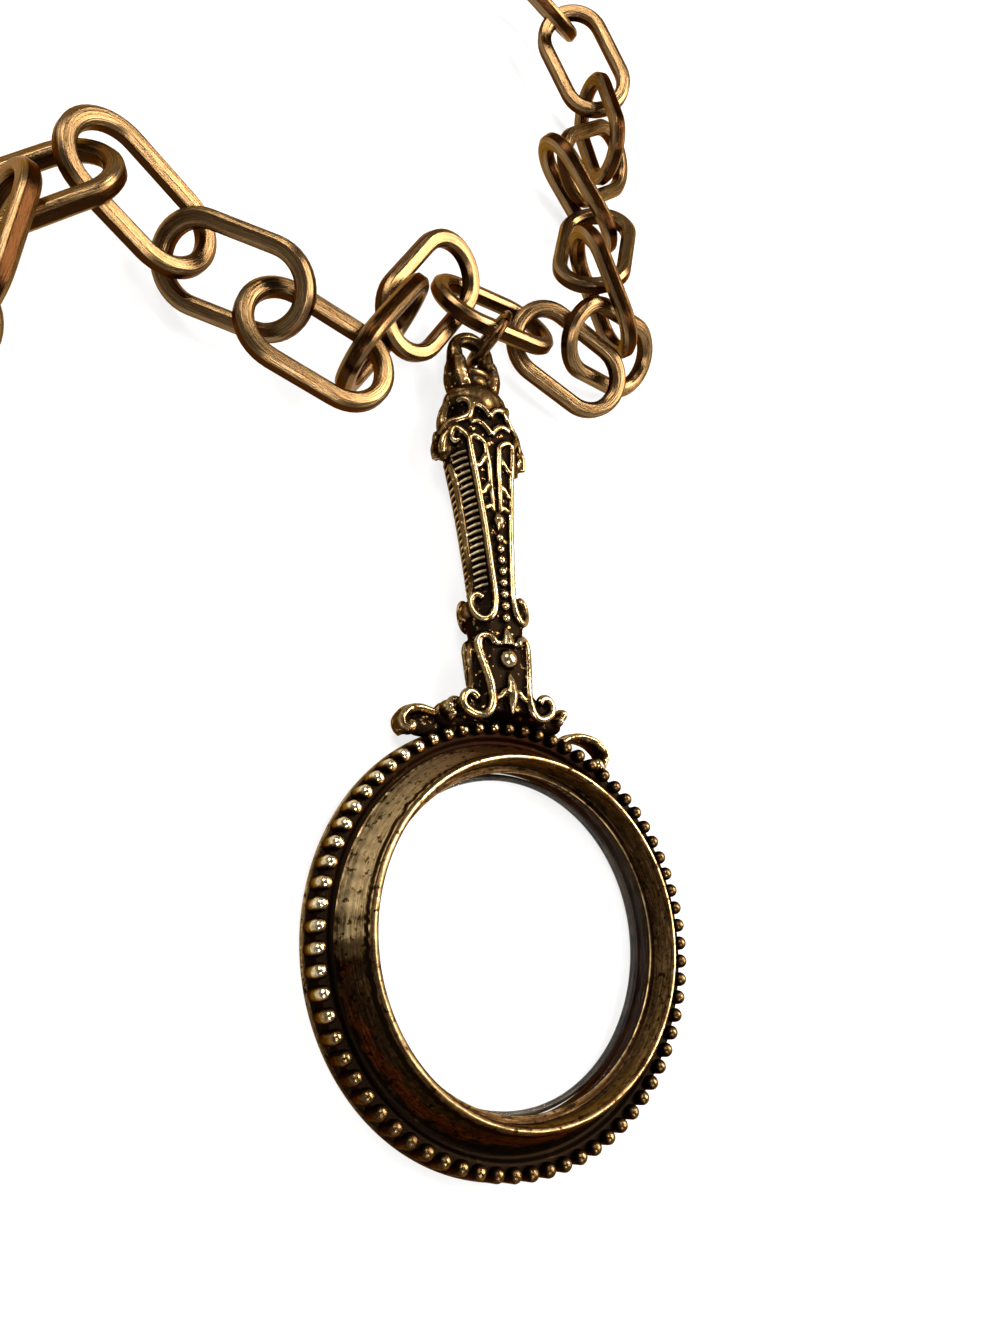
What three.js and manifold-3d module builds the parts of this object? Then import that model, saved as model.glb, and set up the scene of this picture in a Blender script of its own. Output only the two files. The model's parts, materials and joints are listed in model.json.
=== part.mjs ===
// A magnifier pendant on a chain of flat-sided oval links, laid on a table with its clasp undone.
// Millimetres, +Z up, the table at Z = 0. The pendant lies on its back with its handle along +Y,
// and the origin is on the bezel's flat back rim, at the end away from the handle.
import * as THREE from 'three';
import { mergeVertices } from 'three/addons/utils/BufferGeometryUtils.js';
import Module from 'manifold-3d';

const wasm = await Module();
wasm.setup();

// Clearance between pieces that touch or nearly touch
const GAP = 0.35;

// Bezel: a cast ring with a beaded, ribbed edge, a concave collar and a raised lip
const BEAD_COUNT = 70;
const BEAD_RING_RADIUS = 20.5;
const BEAD_RADIUS = 0.8;
const BEAD_HEIGHT = 3.1;
const RIB_DEPTH = 0.4;
const FLANGE_OVERHANG = 0.8;
const FLANGE_THICKNESS = 0.9;
const GROOVE_FLOOR = 1.9;
const BORE_RADIUS = 16.4;
const LIP_WALL = 0.5;
const LIP_HEIGHT = 6;

// Lens, the ledge that stops it and the split ring that holds it from behind
const LEDGE_WIDTH = 0.7;
const LEDGE_THICKNESS = 0.6;
const LEDGE_HEIGHT = 2.9;
const LENS_EDGE = 1.2;
const LENS_FRONT_RISE = 1.5;
const LENS_BACK_RISE = 0.6;
const SPLIT_RING_WIRE = 0.7;
const SPLIT_RING_OPENING = 14;

// Handle: distance from the bezel's centre, half width, half depth
const HANDLE_AXIS_HEIGHT = 3.1;
const HANDLE_STATIONS = [
  [18.9, 3.2, 1.8], [21.5, 3.6, 2.0], [24.0, 3.3, 2.2], [27.0, 2.8, 2.2], [29.6, 2.7, 2.2],
  [31.2, 3.3, 2.4], [32.6, 3.6, 2.4], [34.0, 2.8, 2.4], [35.5, 2.4, 2.4], [40.0, 2.5, 2.5],
  [45.0, 2.9, 2.7], [48.5, 3.3, 2.8], [50.2, 4.2, 2.9], [52.0, 4.4, 3.0], [54.5, 4.5, 3.0],
  [57.0, 3.9, 2.9], [59.0, 2.8, 2.5], [60.5, 2.2, 2.1], [61.6, 1.5, 1.5],
];
// The handle's six-sided section, as shares of its half width and half depth
const HANDLE_SECTION = [
  [1, 0.25], [0.8, 0.65], [0.52, 1], [-0.52, 1], [-0.8, 0.65], [-1, 0.25],
  [-1, -0.25], [-0.8, -0.65], [-0.52, -1], [0.52, -1], [0.8, -0.65], [1, -0.25],
];
const VOLUTES = [[3.5, 32.6, 1.3], [4.3, 51.2, 1.3], [3.2, 25.0, 1.4]];
const VOLUTE_DEPTH = 3.4;
const CREST_WIRE = 1.7;
const CREST_RISE = 2.9;

// Bail: a long eye cast on top of the handle
const BAIL_SINK = 2.2;
const BAIL_LENGTH = 8.2;
const BAIL_WIDTH = 5.6;
const BAIL_WIRE = 1.5;

// Chain links and the round rings that join the ends
const LINK_LENGTH = 17;
const LINK_WIDTH = 10.2;
const LINK_WIRE = 2;
const LINK_CHAMFER = 0.6;
const RING_RADIUS = 3.5;
const RING_WIRE = 1;

// Clasp: a sprung hook
const CLASP_LENGTH = 15;
const CLASP_THICKNESS = 3.4;
const CLASP_EYE_RADIUS = 2.3;
const CLASP_EYE_HOLE = 1.1;
const CLASP_EYE_THICKNESS = 1.6;
const LEVER_THICKNESS = 1.2;
const PIVOT_RADIUS = 0.5;
const PIVOT_CLEARANCE = 0.08;

const GOLD = new THREE.MeshStandardMaterial({ color: 0xb08a58, roughness: 0.32, metalness: 1 });
const ANTIQUE = new THREE.MeshStandardMaterial({ color: 0x8a6c3c, roughness: 0.42, metalness: 1 });
const GLASS = new THREE.MeshStandardMaterial({ color: 0xf4f8fa, roughness: 0.04, metalness: 0 });
const STEEL = new THREE.MeshStandardMaterial({ color: 0xa9a49a, roughness: 0.35, metalness: 1 });

const necklace = new THREE.Group();

function addPiece(name, geometry, material) {
  const piece = new THREE.Mesh(geometry, material);
  piece.name = name;
  necklace.add(piece);
  return piece;
}

// Booleans: closed geometry to a solid and back

function solid(geometry) {
  const bare = geometry.clone();
  bare.deleteAttribute('normal');
  bare.deleteAttribute('uv');
  const merged = mergeVertices(bare, 1e-5);
  return new wasm.Manifold(new wasm.Mesh({
    numProp: 3,
    vertProperties: Float32Array.from(merged.attributes.position.array),
    triVerts: Uint32Array.from(merged.index.array),
  }));
}

function geometryOf(body) {
  const mesh = body.getMesh();
  const geometry = new THREE.BufferGeometry();
  geometry.setAttribute('position', new THREE.BufferAttribute(mesh.vertProperties, 3));
  geometry.setIndex(new THREE.BufferAttribute(mesh.triVerts, 1));
  return geometry;
}

// Rings of points skinned into a closed body: round both ways, or capped at its two ends

function skin(rings, capped) {
  const sides = rings[0].length;
  const points = rings.flat();
  const index = [];
  const last = capped ? rings.length - 1 : rings.length;
  for (let i = 0; i < last; i += 1) {
    const here = i * sides;
    const next = ((i + 1) % rings.length) * sides;
    for (let j = 0; j < sides; j += 1) {
      const k = (j + 1) % sides;
      index.push(here + j, next + k, here + k, here + j, next + j, next + k);
    }
  }
  if (capped) {
    const top = (rings.length - 1) * sides;
    for (let j = 1; j < sides - 1; j += 1) {
      index.push(0, j, j + 1, top, top + j + 1, top + j);
    }
  }
  return new THREE.BufferGeometry().setFromPoints(points).setIndex(index);
}

// A closed wire loop in the XY plane: straight sides along X joined by half circles

function wireLoop(length, width, section, stepsPerEnd) {
  const radius = width / 2;
  const straight = (length - width) / 2;
  const rings = [];
  for (const side of [1, -1]) {
    for (let i = 0; i <= stepsPerEnd; i += 1) {
      const angle = Math.PI * (i / stepsPerEnd - 0.5) + (side < 0 ? Math.PI : 0);
      const out = new THREE.Vector3(Math.cos(angle), Math.sin(angle), 0);
      const centre = out.clone().multiplyScalar(radius).add(new THREE.Vector3(side * straight, 0, 0));
      rings.push(section.map(([across, up]) => new THREE.Vector3(
        centre.x + out.x * across, centre.y + out.y * across, up,
      )));
    }
  }
  if (straight < 1e-6) {
    rings.splice(stepsPerEnd, 1);
    rings.pop();
  }
  return skin(rings, false);
}

function squareWire(size, chamfer) {
  const half = size / 2;
  const flat = half - chamfer;
  return [
    [half, -flat], [half, flat], [flat, half], [-flat, half],
    [-half, flat], [-half, -flat], [-flat, -half], [flat, -half],
  ];
}

function roundWire(size, sides) {
  return Array.from({ length: sides }, (_, i) => {
    const angle = (2 * Math.PI * (i + 0.5)) / sides;
    return [Math.cos(angle) * size / 2, Math.sin(angle) * size / 2];
  });
}

// Pendant frame: bezel, handle, crest and bail are one casting

function bezel() {
  const beadOut = BEAD_RING_RADIUS + BEAD_RADIUS;
  const lipOut = BORE_RADIUS + LIP_WALL;
  const collarFoot = BEAD_RING_RADIUS - 2.4 * BEAD_RADIUS;
  const collarRun = collarFoot - lipOut;
  const collarRise = LIP_HEIGHT - GROOVE_FLOOR;
  const backRim = beadOut - FLANGE_OVERHANG / 2;
  const ledgeTop = LEDGE_HEIGHT + LEDGE_THICKNESS;
  // radius, height, and how much of the bead and rib wave each point carries
  const profile = [
    [BORE_RADIUS, 0, 0], [backRim, 0, 0], [beadOut, FLANGE_THICKNESS / 2, 0],
    [beadOut - RIB_DEPTH / 2, FLANGE_THICKNESS, 1], [beadOut - RIB_DEPTH / 2, BEAD_HEIGHT - BEAD_RADIUS / 2, 1],
    [BEAD_RING_RADIUS, BEAD_HEIGHT + BEAD_RADIUS / 3, 1], [BEAD_RING_RADIUS - BEAD_RADIUS, BEAD_HEIGHT - BEAD_RADIUS / 2, 0],
    [collarFoot, GROOVE_FLOOR, 0],
    [lipOut + 0.4 * collarRun, GROOVE_FLOOR + 0.35 * collarRise, 0],
    [lipOut + 0.12 * collarRun, GROOVE_FLOOR + 0.75 * collarRise, 0],
    [lipOut, LIP_HEIGHT, 0], [BORE_RADIUS, LIP_HEIGHT, 0],
    [BORE_RADIUS, ledgeTop, 0], [BORE_RADIUS - LEDGE_WIDTH, ledgeTop, 0],
    [BORE_RADIUS - LEDGE_WIDTH, LEDGE_HEIGHT, 0], [BORE_RADIUS, LEDGE_HEIGHT, 0],
  ];
  const columns = 2 * BEAD_COUNT;
  const rings = [];
  for (let i = 0; i < columns; i += 1) {
    const angle = (2 * Math.PI * i) / columns;
    const wave = (i % 2 ? -1 : 1) * RIB_DEPTH / 2;
    rings.push(profile.map(([radius, height, share]) => new THREE.Vector3(
      Math.cos(angle) * (radius + wave * share), Math.sin(angle) * (radius + wave * share), height,
    )));
  }
  return skin(rings, false);
}

function handle() {
  const rings = HANDLE_STATIONS.map(([along, halfWidth, halfDepth]) => (
    HANDLE_SECTION.map(([across, up]) => new THREE.Vector3(
      across * halfWidth, along, HANDLE_AXIS_HEIGHT + up * halfDepth,
    ))
  ));
  return skin(rings, true);
}
const bailBase = HANDLE_STATIONS.at(-1)[0] - BAIL_SINK;

function volute(x, along, radius) {
  return new THREE.CylinderGeometry(radius, radius, VOLUTE_DEPTH, 12)
    .rotateX(Math.PI / 2)
    .translate(x, along, HANDLE_AXIS_HEIGHT);
}

// A scroll that springs from the handle's foot, arches over the bezel's edge and lands on it
function crestScroll(side) {
  const edge = BEAD_RING_RADIUS + BEAD_RADIUS;
  const arch = [[6, 0.9], [15, 1], [24, 0.85], [32, 0.5], [37, 0]].map(([lean, rise]) => {
    const angle = THREE.MathUtils.degToRad(90 - side * lean);
    const radius = edge + rise * CREST_RISE;
    return new THREE.Vector3(Math.cos(angle) * radius, Math.sin(angle) * radius, HANDLE_AXIS_HEIGHT);
  });
  const section = new THREE.Shape(roundWire(CREST_WIRE, 6).map(([x, y]) => new THREE.Vector2(x, y)));
  return new THREE.ExtrudeGeometry(section, {
    steps: 10, extrudePath: new THREE.CatmullRomCurve3(arch),
  });
}

function bail() {
  return wireLoop(BAIL_LENGTH - BAIL_WIRE, BAIL_WIDTH - BAIL_WIRE, roundWire(BAIL_WIRE, 8), 6)
    .rotateZ(Math.PI / 2)
    .translate(0, bailBase + BAIL_LENGTH / 2, HANDLE_AXIS_HEIGHT);
}

let casting = solid(bezel()).add(solid(handle())).add(solid(bail()));
for (const side of [1, -1]) {
  casting = casting.add(solid(crestScroll(side)));
  for (const [x, along, radius] of VOLUTES) {
    casting = casting.add(solid(volute(side * x, along, radius)));
  }
}
addPiece('pendant_frame', geometryOf(casting), ANTIQUE);

// Lens and split ring, pushed in from the back against the ledge

const lensRadius = BORE_RADIUS - GAP;
const lensFront = LEDGE_HEIGHT - GAP;
const lensBack = lensFront - LENS_EDGE;

function lens() {
  const steps = 6;
  const profile = [];
  for (let i = 0; i <= steps; i += 1) {
    const share = i / steps;
    profile.push(new THREE.Vector2(lensRadius * share, lensBack - LENS_BACK_RISE * (1 - share ** 2)));
  }
  const domeRadius = BORE_RADIUS - LEDGE_WIDTH - GAP;
  for (let i = steps; i >= 0; i -= 1) {
    const share = i / steps;
    profile.push(new THREE.Vector2(domeRadius * share, lensFront + LENS_FRONT_RISE * (1 - share ** 2)));
  }
  profile.splice(steps + 1, 0, new THREE.Vector2(lensRadius, lensFront));
  return new THREE.LatheGeometry(profile, 48).rotateX(Math.PI / 2);
}
addPiece('lens', lens(), GLASS);

function splitRing() {
  const radius = BORE_RADIUS - SPLIT_RING_WIRE / 2 - GAP / 2;
  const height = lensBack - GAP - SPLIT_RING_WIRE / 2;
  const open = THREE.MathUtils.degToRad(SPLIT_RING_OPENING);
  const steps = 36;
  const rings = Array.from({ length: steps + 1 }, (_, i) => {
    const angle = -Math.PI / 2 + open / 2 + ((2 * Math.PI - open) * i) / steps;
    return roundWire(SPLIT_RING_WIRE, 6).map(([across, up]) => new THREE.Vector3(
      Math.cos(angle) * (radius + across), Math.sin(angle) * (radius + across), height + up,
    ));
  });
  return skin(rings, true);
}
addPiece('lens_split_ring', splitRing(), STEEL);

// Chain. Every link passes through the one before it. Its direction is a heading about Z, a climb
// out of the table and a roll about its own length; slack is how far short of the older link's end
// it hangs, side how far off that link's middle, and turn how far round its own end it is gripped.

const linkRun = LINK_LENGTH - LINK_WIRE;
const linkSpan = LINK_WIDTH - LINK_WIRE;
const reach = linkRun / 2 - LINK_WIRE - GAP;
const linkShape = wireLoop(linkRun, linkSpan, squareWire(LINK_WIRE, LINK_CHAMFER), 6);

function turned(heading, climb, roll) {
  const [x, y, z] = [roll, -climb, heading].map(THREE.MathUtils.degToRad);
  return new THREE.Euler(x, y, z, 'ZYX');
}

function addLink(name, older, end, [heading, climb, roll, slack, side, turn]) {
  const link = addPiece(name, linkShape, GOLD);
  link.rotation.copy(turned(heading, climb, roll));
  const angle = THREE.MathUtils.degToRad(turn);
  const grip = new THREE.Vector3(end * (reach - slack), side, 0).applyEuler(older.rotation);
  const held = new THREE.Vector3(
    -(linkRun - linkSpan + linkSpan * Math.cos(angle)) / 2, (linkSpan * Math.sin(angle)) / 2, 0,
  ).applyEuler(link.rotation);
  link.position.copy(older.position).add(grip).sub(held);
  return link;
}

// The link on the pendant's jump ring, across the top of the bail
const bailTop = bailBase + BAIL_LENGTH;
const middleLink = addPiece('link_middle', linkShape, GOLD);
middleLink.position.set(3, bailTop + 2.9, HANDLE_AXIS_HEIGHT + 1.4);
middleLink.rotation.copy(turned(0, -5, -25));

const ringShape = wireLoop(2 * RING_RADIUS, 2 * RING_RADIUS, roundWire(RING_WIRE, 6), 8);
const pendantRing = addPiece('jump_ring_pendant', ringShape, GOLD);
pendantRing.position.set(1.6, bailTop - 1.3, HANDLE_AXIS_HEIGHT + 1.8);
pendantRing.rotation.copy(turned(60, 0, 90));

// heading, climb, roll, slack, side, turn
const LEFT_LINKS = [
  [-125, -10, -25, 1.5, 0.5, 75],
  [-125, 0, 100, 3, -1, -5],
  [160, 0, -5, 1.5, 1.5, -70],
  [150, -25, -50, 2, 0, 40],
  [150, 15, 0, 1, 0.5, 15],
  [-145, -15, 30, 1, 0, -15],
  [-100, -10, 70, 2.5, -1, -40],
  [180, 10, -30, 1.5, -0.5, -55],
  [-165, 0, 60, 1, 0, -10],
  [-175, 0, -40, 0.5, 0, -15],
  [170, 0, 45, 0.5, 0, -20],
  [140, 0, -45, 0.5, 0, -15],
  [115, 0, 45, 0.5, 0, -20],
  [100, 0, -45, 0.5, 0, -10],
  [90, 0, 45, 0.5, 0, -5],
  [85, 0, -45, 0.5, 0, 0],
  [80, 0, 45, 0.5, 0, 0],
];
const RIGHT_LINKS = [
  [-25, 0, 25, 1.5, 0, -5],
  [5, -15, 40, 4, 0, -70],
  [120, 10, -120, 3, 0.5, 25],
  [70, -5, -35, 4, 1, -15],
  [135, 10, 55, 1, -1.5, 50],
  [40, -5, 25, 3, 0, -15],
  [90, -10, 75, 4, -2, -45],
  [115, 0, -35, 1, 0, 30],
  [155, 5, 30, 0.5, 0, 20],
  [90, 0, -50, 3, -0.5, -10],
  [125, 0, 40, 0.3, -0.5, 35],
  [120, 0, -45, 0.3, 0, -5],
  [130, 0, 45, 0.3, 0, 5],
  [145, 0, -45, 0.3, 0, 10],
  [160, 0, 45, 0.3, 0, 10],
  [175, 0, -45, 0.3, 0, 10],
  [185, 0, 45, 0.3, 0, 5],
  [190, 0, -45, 0.3, 0, 0],
  [195, 0, 45, 0.3, 0, 0],
];

function addStrand(strand, rows, firstEnd) {
  let older = middleLink;
  rows.forEach((row, i) => {
    const number = String(i + 1).padStart(2, '0');
    older = addLink(`link_${strand}_${number}`, older, i === 0 ? firstEnd : 1, row);
  });
  return older;
}
const lastLeft = addStrand('left', LEFT_LINKS, -1);
const lastRight = addStrand('right', RIGHT_LINKS, 1);

// A round ring in the last link of each strand
function addEndRing(name, link, heading, climb, roll) {
  const ring = addPiece(name, ringShape, GOLD);
  ring.rotation.copy(turned(heading, climb, roll));
  const grip = new THREE.Vector3(linkRun / 2 - (LINK_WIRE + RING_WIRE) / 2 - 1.5 * GAP, 0, 0);
  const held = new THREE.Vector3(-RING_RADIUS, 0, 0).applyEuler(ring.rotation);
  ring.position.copy(link.position).add(grip.applyEuler(link.rotation)).sub(held);
  return ring;
}
const claspRing = addEndRing('jump_ring_clasp', lastLeft, 80, 0, 90);
addEndRing('jump_ring_end', lastRight, 200, 0, -45);

// Clasp: eye, body and hook are one casting; a lever on a rivet closes the hook, held by a leaf spring

const clasp = new THREE.Group();
necklace.add(clasp);

const pivot = new THREE.Vector2(4.4, 2.1);
const leverRoom = LEVER_THICKNESS + 2 * GAP;
const pivotHole = PIVOT_RADIUS + PIVOT_CLEARANCE;
const noseX = CLASP_LENGTH - CLASP_EYE_RADIUS;

function plate(outline, thickness, holes = []) {
  const shape = new THREE.Shape(outline.map(([x, y]) => new THREE.Vector2(x, y)));
  for (const [x, y, radius] of holes) {
    shape.holes.push(new THREE.Path().absarc(x, y, radius, 0, 2 * Math.PI));
  }
  return new THREE.ExtrudeGeometry(shape, { depth: thickness, bevelEnabled: false, curveSegments: 8 })
    .translate(0, 0, -thickness / 2);
}

function claspBody() {
  const outline = [
    [1.8, -2.8], [4, -3.5], [noseX - 4, -3.9], [noseX - 1, -3], [noseX, -0.6],
    [noseX - 0.4, 1.8], [noseX - 1.6, 3.2], [noseX - 2.2, 3.2], [noseX - 2.2, 2],
    [noseX - 1.8, 0.6], [noseX - 2.4, -1], [noseX - 4, -1.8], [6.6, -1.6], [6, 0.2],
    [6, 3.2], [3.6, 3.9], [1.8, 3.2],
  ];
  const eye = new THREE.CylinderGeometry(CLASP_EYE_RADIUS, CLASP_EYE_RADIUS, CLASP_EYE_THICKNESS, 20)
    .rotateX(Math.PI / 2);
  const eyeHole = new THREE.CylinderGeometry(CLASP_EYE_HOLE, CLASP_EYE_HOLE, CLASP_THICKNESS, 16)
    .rotateX(Math.PI / 2);
  const slot = plate([[2.4, 0], [7, 0], [7, 5], [2.4, 5]], leverRoom);
  const body = solid(plate(outline, CLASP_THICKNESS, [[pivot.x, pivot.y, pivotHole]]));
  return geometryOf(body.subtract(solid(slot)).add(solid(eye)).subtract(solid(eyeHole)));
}

function claspLever() {
  const tip = noseX - 2.2 - GAP;
  const outline = [
    [pivot.x - 1.3, 1.2], [pivot.x + 1, 1], [tip, 2], [tip, 3.1], [pivot.x + 1.4, 3.2],
    [pivot.x - 0.2, 4.9], [pivot.x - 1.4, 4.7],
  ];
  return plate(outline, LEVER_THICKNESS, [[pivot.x, pivot.y, pivotHole]]);
}

function claspRivet() {
  return new THREE.CylinderGeometry(PIVOT_RADIUS, PIVOT_RADIUS, CLASP_THICKNESS, 12)
    .rotateX(Math.PI / 2)
    .translate(pivot.x, pivot.y, 0);
}

function claspSpring() {
  const outline = [[2.8, GAP], [5.2, GAP], [5.2, GAP + 0.25], [2.8, GAP + 0.25]];
  return plate(outline, LEVER_THICKNESS - GAP);
}

const claspPieces = [
  ['clasp_body', claspBody(), GOLD], ['clasp_lever', claspLever(), GOLD],
  ['clasp_rivet', claspRivet(), STEEL], ['clasp_spring', claspSpring(), STEEL],
];
for (const [name, geometry, material] of claspPieces) {
  clasp.add(addPiece(name, geometry, material));
}
clasp.rotation.copy(turned(85, -14, 0));
const ringFarSide = new THREE.Vector3(RING_RADIUS, 0, 0).applyEuler(claspRing.rotation);
clasp.position.copy(claspRing.position).add(ringFarSide);

// The origin moves from the bezel's centre to its back rim
const backRimMiddle = (BORE_RADIUS + BEAD_RING_RADIUS) / 2;
for (const piece of necklace.children) piece.position.y += backRimMiddle;

export default necklace;
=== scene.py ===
import json
import math

import bpy
import numpy as np
from mathutils import Matrix, Vector
from mathutils.bvhtree import BVHTree


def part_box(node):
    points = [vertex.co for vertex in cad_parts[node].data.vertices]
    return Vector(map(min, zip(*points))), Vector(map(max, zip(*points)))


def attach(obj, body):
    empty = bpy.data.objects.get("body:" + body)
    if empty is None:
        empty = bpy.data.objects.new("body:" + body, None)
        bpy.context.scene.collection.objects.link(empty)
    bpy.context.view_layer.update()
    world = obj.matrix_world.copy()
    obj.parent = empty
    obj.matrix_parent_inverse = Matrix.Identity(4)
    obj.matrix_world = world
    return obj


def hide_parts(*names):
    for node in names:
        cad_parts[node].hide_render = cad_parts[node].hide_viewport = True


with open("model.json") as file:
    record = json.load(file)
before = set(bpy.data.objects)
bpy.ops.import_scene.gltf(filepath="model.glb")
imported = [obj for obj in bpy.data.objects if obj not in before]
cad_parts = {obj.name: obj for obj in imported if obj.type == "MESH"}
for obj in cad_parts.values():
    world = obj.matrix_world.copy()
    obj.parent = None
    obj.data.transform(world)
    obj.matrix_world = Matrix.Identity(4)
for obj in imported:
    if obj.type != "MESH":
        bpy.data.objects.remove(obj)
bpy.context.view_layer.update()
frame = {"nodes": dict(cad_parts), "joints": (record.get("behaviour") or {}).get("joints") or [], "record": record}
MM = 0.001

# The necklace lies on a white table and is seen from above its left side by a hand-held camera.
# Places on the pendant are measured from the middle of its bezel, in millimetres.

lens_low, lens_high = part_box("lens")
BEZEL_CENTRE = Vector(((lens_low.x + lens_high.x) / 2, (lens_low.y + lens_high.y) / 2, 0))


def spot(x, y, z):
    return BEZEL_CENTRE + Vector((x, y, z)) * MM


CAMERA_PLACE = spot(-54.2, -3.7, 82.7)
CAMERA_VIEW = Vector((0.5383, 0.3033, -0.7863)).normalized()
CAMERA_TOP = Vector((-0.0957, 0.949, 0.3005))
PICTURE_FOCAL = 0.974
SENSOR = 36
NEAR_LIMIT = 0.002
FAR_LIMIT = 20

bpy.ops.object.camera_add()
camera = bpy.context.object
camera_right = CAMERA_VIEW.cross(CAMERA_TOP).normalized()
camera_up = camera_right.cross(CAMERA_VIEW)
turn = Matrix((camera_right, camera_up, -CAMERA_VIEW)).transposed()
camera.matrix_world = Matrix.Translation(CAMERA_PLACE) @ turn.to_4x4()
camera.data.sensor_fit = "HORIZONTAL"
camera.data.sensor_width = SENSOR
camera.data.lens = SENSOR * PICTURE_FOCAL
camera.data.clip_start = NEAR_LIMIT
camera.data.clip_end = FAR_LIMIT
scene = bpy.context.scene
scene.camera = camera

# The light is a dim warm room with four soft round lamps: one beyond the handle at the left, one behind the
# chain, one low at its right side and a small one in front. The metal shows bright faces and dark sides.

ROOM_COLOUR = (0.075, 0.068, 0.06, 1)
LAMPS = [
    ("key_lamp", (-330, 420, 560), (-10, 40, 0), 0.3, 4.5, (1, 0.96, 0.9)),
    ("back_lamp", (330, 300, 560), (0, 60, 0), 0.24, 4.6, (1, 0.93, 0.84)),
    ("side_lamp", (330, 40, 330), (35, 75, 5), 0.3, 4.3, (1, 0.94, 0.86)),
    ("fill_lamp", (-120, -420, 520), (0, 20, 0), 0.22, 2.8, (1, 0.95, 0.9)),
]

scene.view_settings.view_transform = "Standard"
world = bpy.data.worlds.new("studio")
scene.world = world
world.use_nodes = True
room = world.node_tree.nodes["Background"]
room.inputs["Color"].default_value = ROOM_COLOUR
room.inputs["Strength"].default_value = 1
for name, place, aim, width, watts, colour in LAMPS:
    bpy.ops.object.light_add(type="AREA", location=spot(*place))
    lamp = bpy.context.object
    lamp.name = name
    lamp.rotation_euler = (spot(*aim) - spot(*place)).to_track_quat("-Z", "Y").to_euler()
    lamp.data.shape = "DISK"
    lamp.data.size = width
    lamp.data.energy = watts
    lamp.data.color = colour

# The table is a sheet of matt white card inside a round wall of the same card, so every view ends in white.
# The card shows its own white to the eye, to metal and to glass, and still takes shadows. The wall's glow
# is painted darker towards its top, a painted shade like the falloff of light on a studio's backdrop.

CARD_COLOUR = (0.97, 0.97, 0.97, 1)
CARD_ROUGHNESS = 0.9
CARD_SHEEN = 0.1
CARD_GLOW = 0.8
TABLE_HEIGHT = -0.0002
WALL_RADIUS = 2.4
WALL_HEIGHT = 2.4
WALL_SIDES = 96
WALL_FADE = 1.5
WALL_TOP = 0.15


def deselect():
    if bpy.context.mode != "OBJECT":
        bpy.ops.object.mode_set(mode="OBJECT")
    bpy.ops.object.select_all(action="DESELECT")


def pick(*pieces):
    deselect()
    for piece in pieces:
        piece.select_set(True)
    bpy.context.view_layer.objects.active = pieces[0]


def new_finish(name):
    finish = bpy.data.materials.new(name)
    finish.use_nodes = True
    return finish, finish.node_tree.nodes, finish.node_tree.links


def node_at(nodes, kind, column, row, **settings):
    node = nodes.new(kind)
    node.location = (column * 220, row * -180)
    for key, value in settings.items():
        setattr(node, key, value)
    return node


def range_node(nodes, links, value, column, row, low, high, to_low, to_high):
    spread = node_at(nodes, "ShaderNodeMapRange", column, row)
    spread.inputs["From Min"].default_value = low
    spread.inputs["From Max"].default_value = high
    spread.inputs["To Min"].default_value = to_low
    spread.inputs["To Max"].default_value = to_high
    links.new(value, spread.inputs["Value"])
    return spread


card, nodes, links = new_finish("white_card")
shader = nodes["Principled BSDF"]
shader.inputs["Base Color"].default_value = CARD_COLOUR
shader.inputs["Roughness"].default_value = CARD_ROUGHNESS
shader.inputs["Specular IOR Level"].default_value = CARD_SHEEN
path = node_at(nodes, "ShaderNodeLightPath", -5, 0)
seen = path.outputs["Is Camera Ray"]
for row, ray in enumerate(("Is Glossy Ray", "Is Transmission Ray")):
    either = node_at(nodes, "ShaderNodeMath", -4, row, operation="MAXIMUM")
    links.new(seen, either.inputs[0])
    links.new(path.outputs[ray], either.inputs[1])
    seen = either.outputs[0]
share = node_at(nodes, "ShaderNodeMath", -3, 0, operation="MULTIPLY")
links.new(seen, share.inputs[0])
share.inputs[1].default_value = CARD_GLOW
where = node_at(nodes, "ShaderNodeTexCoord", -5, 3)
height = node_at(nodes, "ShaderNodeSeparateXYZ", -4, 3)
links.new(where.outputs["Object"], height.inputs[0])
# The wall's glow fades with height: painted shade towards its top.
painted_wall_shade = range_node(nodes, links, height.outputs["Z"], -3, 3, 0, WALL_FADE, 1, WALL_TOP)
painted_wall_shade.interpolation_type = "SMOOTHSTEP"
glow = node_at(nodes, "ShaderNodeEmission", -2, 3)
links.new(painted_wall_shade.outputs["Result"], glow.inputs["Strength"])
mix = node_at(nodes, "ShaderNodeMixShader", 1, 1)
links.new(share.outputs[0], mix.inputs["Fac"])
links.new(shader.outputs[0], mix.inputs[1])
links.new(glow.outputs[0], mix.inputs[2])
links.new(mix.outputs[0], nodes["Material Output"].inputs["Surface"])
bpy.ops.mesh.primitive_circle_add(
    vertices=WALL_SIDES, radius=WALL_RADIUS, fill_type="NGON", location=(0, 0, TABLE_HEIGHT))
table = bpy.context.object
table.name = "table"
bpy.ops.mesh.primitive_cylinder_add(
    vertices=WALL_SIDES, radius=WALL_RADIUS, depth=WALL_HEIGHT, end_fill_type="NOTHING",
    location=(0, 0, WALL_HEIGHT / 2))
wall = bpy.context.object
wall.name = "backdrop"
for sheet in (table, wall):
    pick(sheet)
    bpy.ops.object.transform_apply()
    sheet.data.materials.append(card)

# The bezel's collar and back are cast in one with the handle, then turned smooth: a flat back rim with
# a sloping flange, a groove inside the beads, a hollow-curved collar and a rounded lip round the bore.

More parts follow.
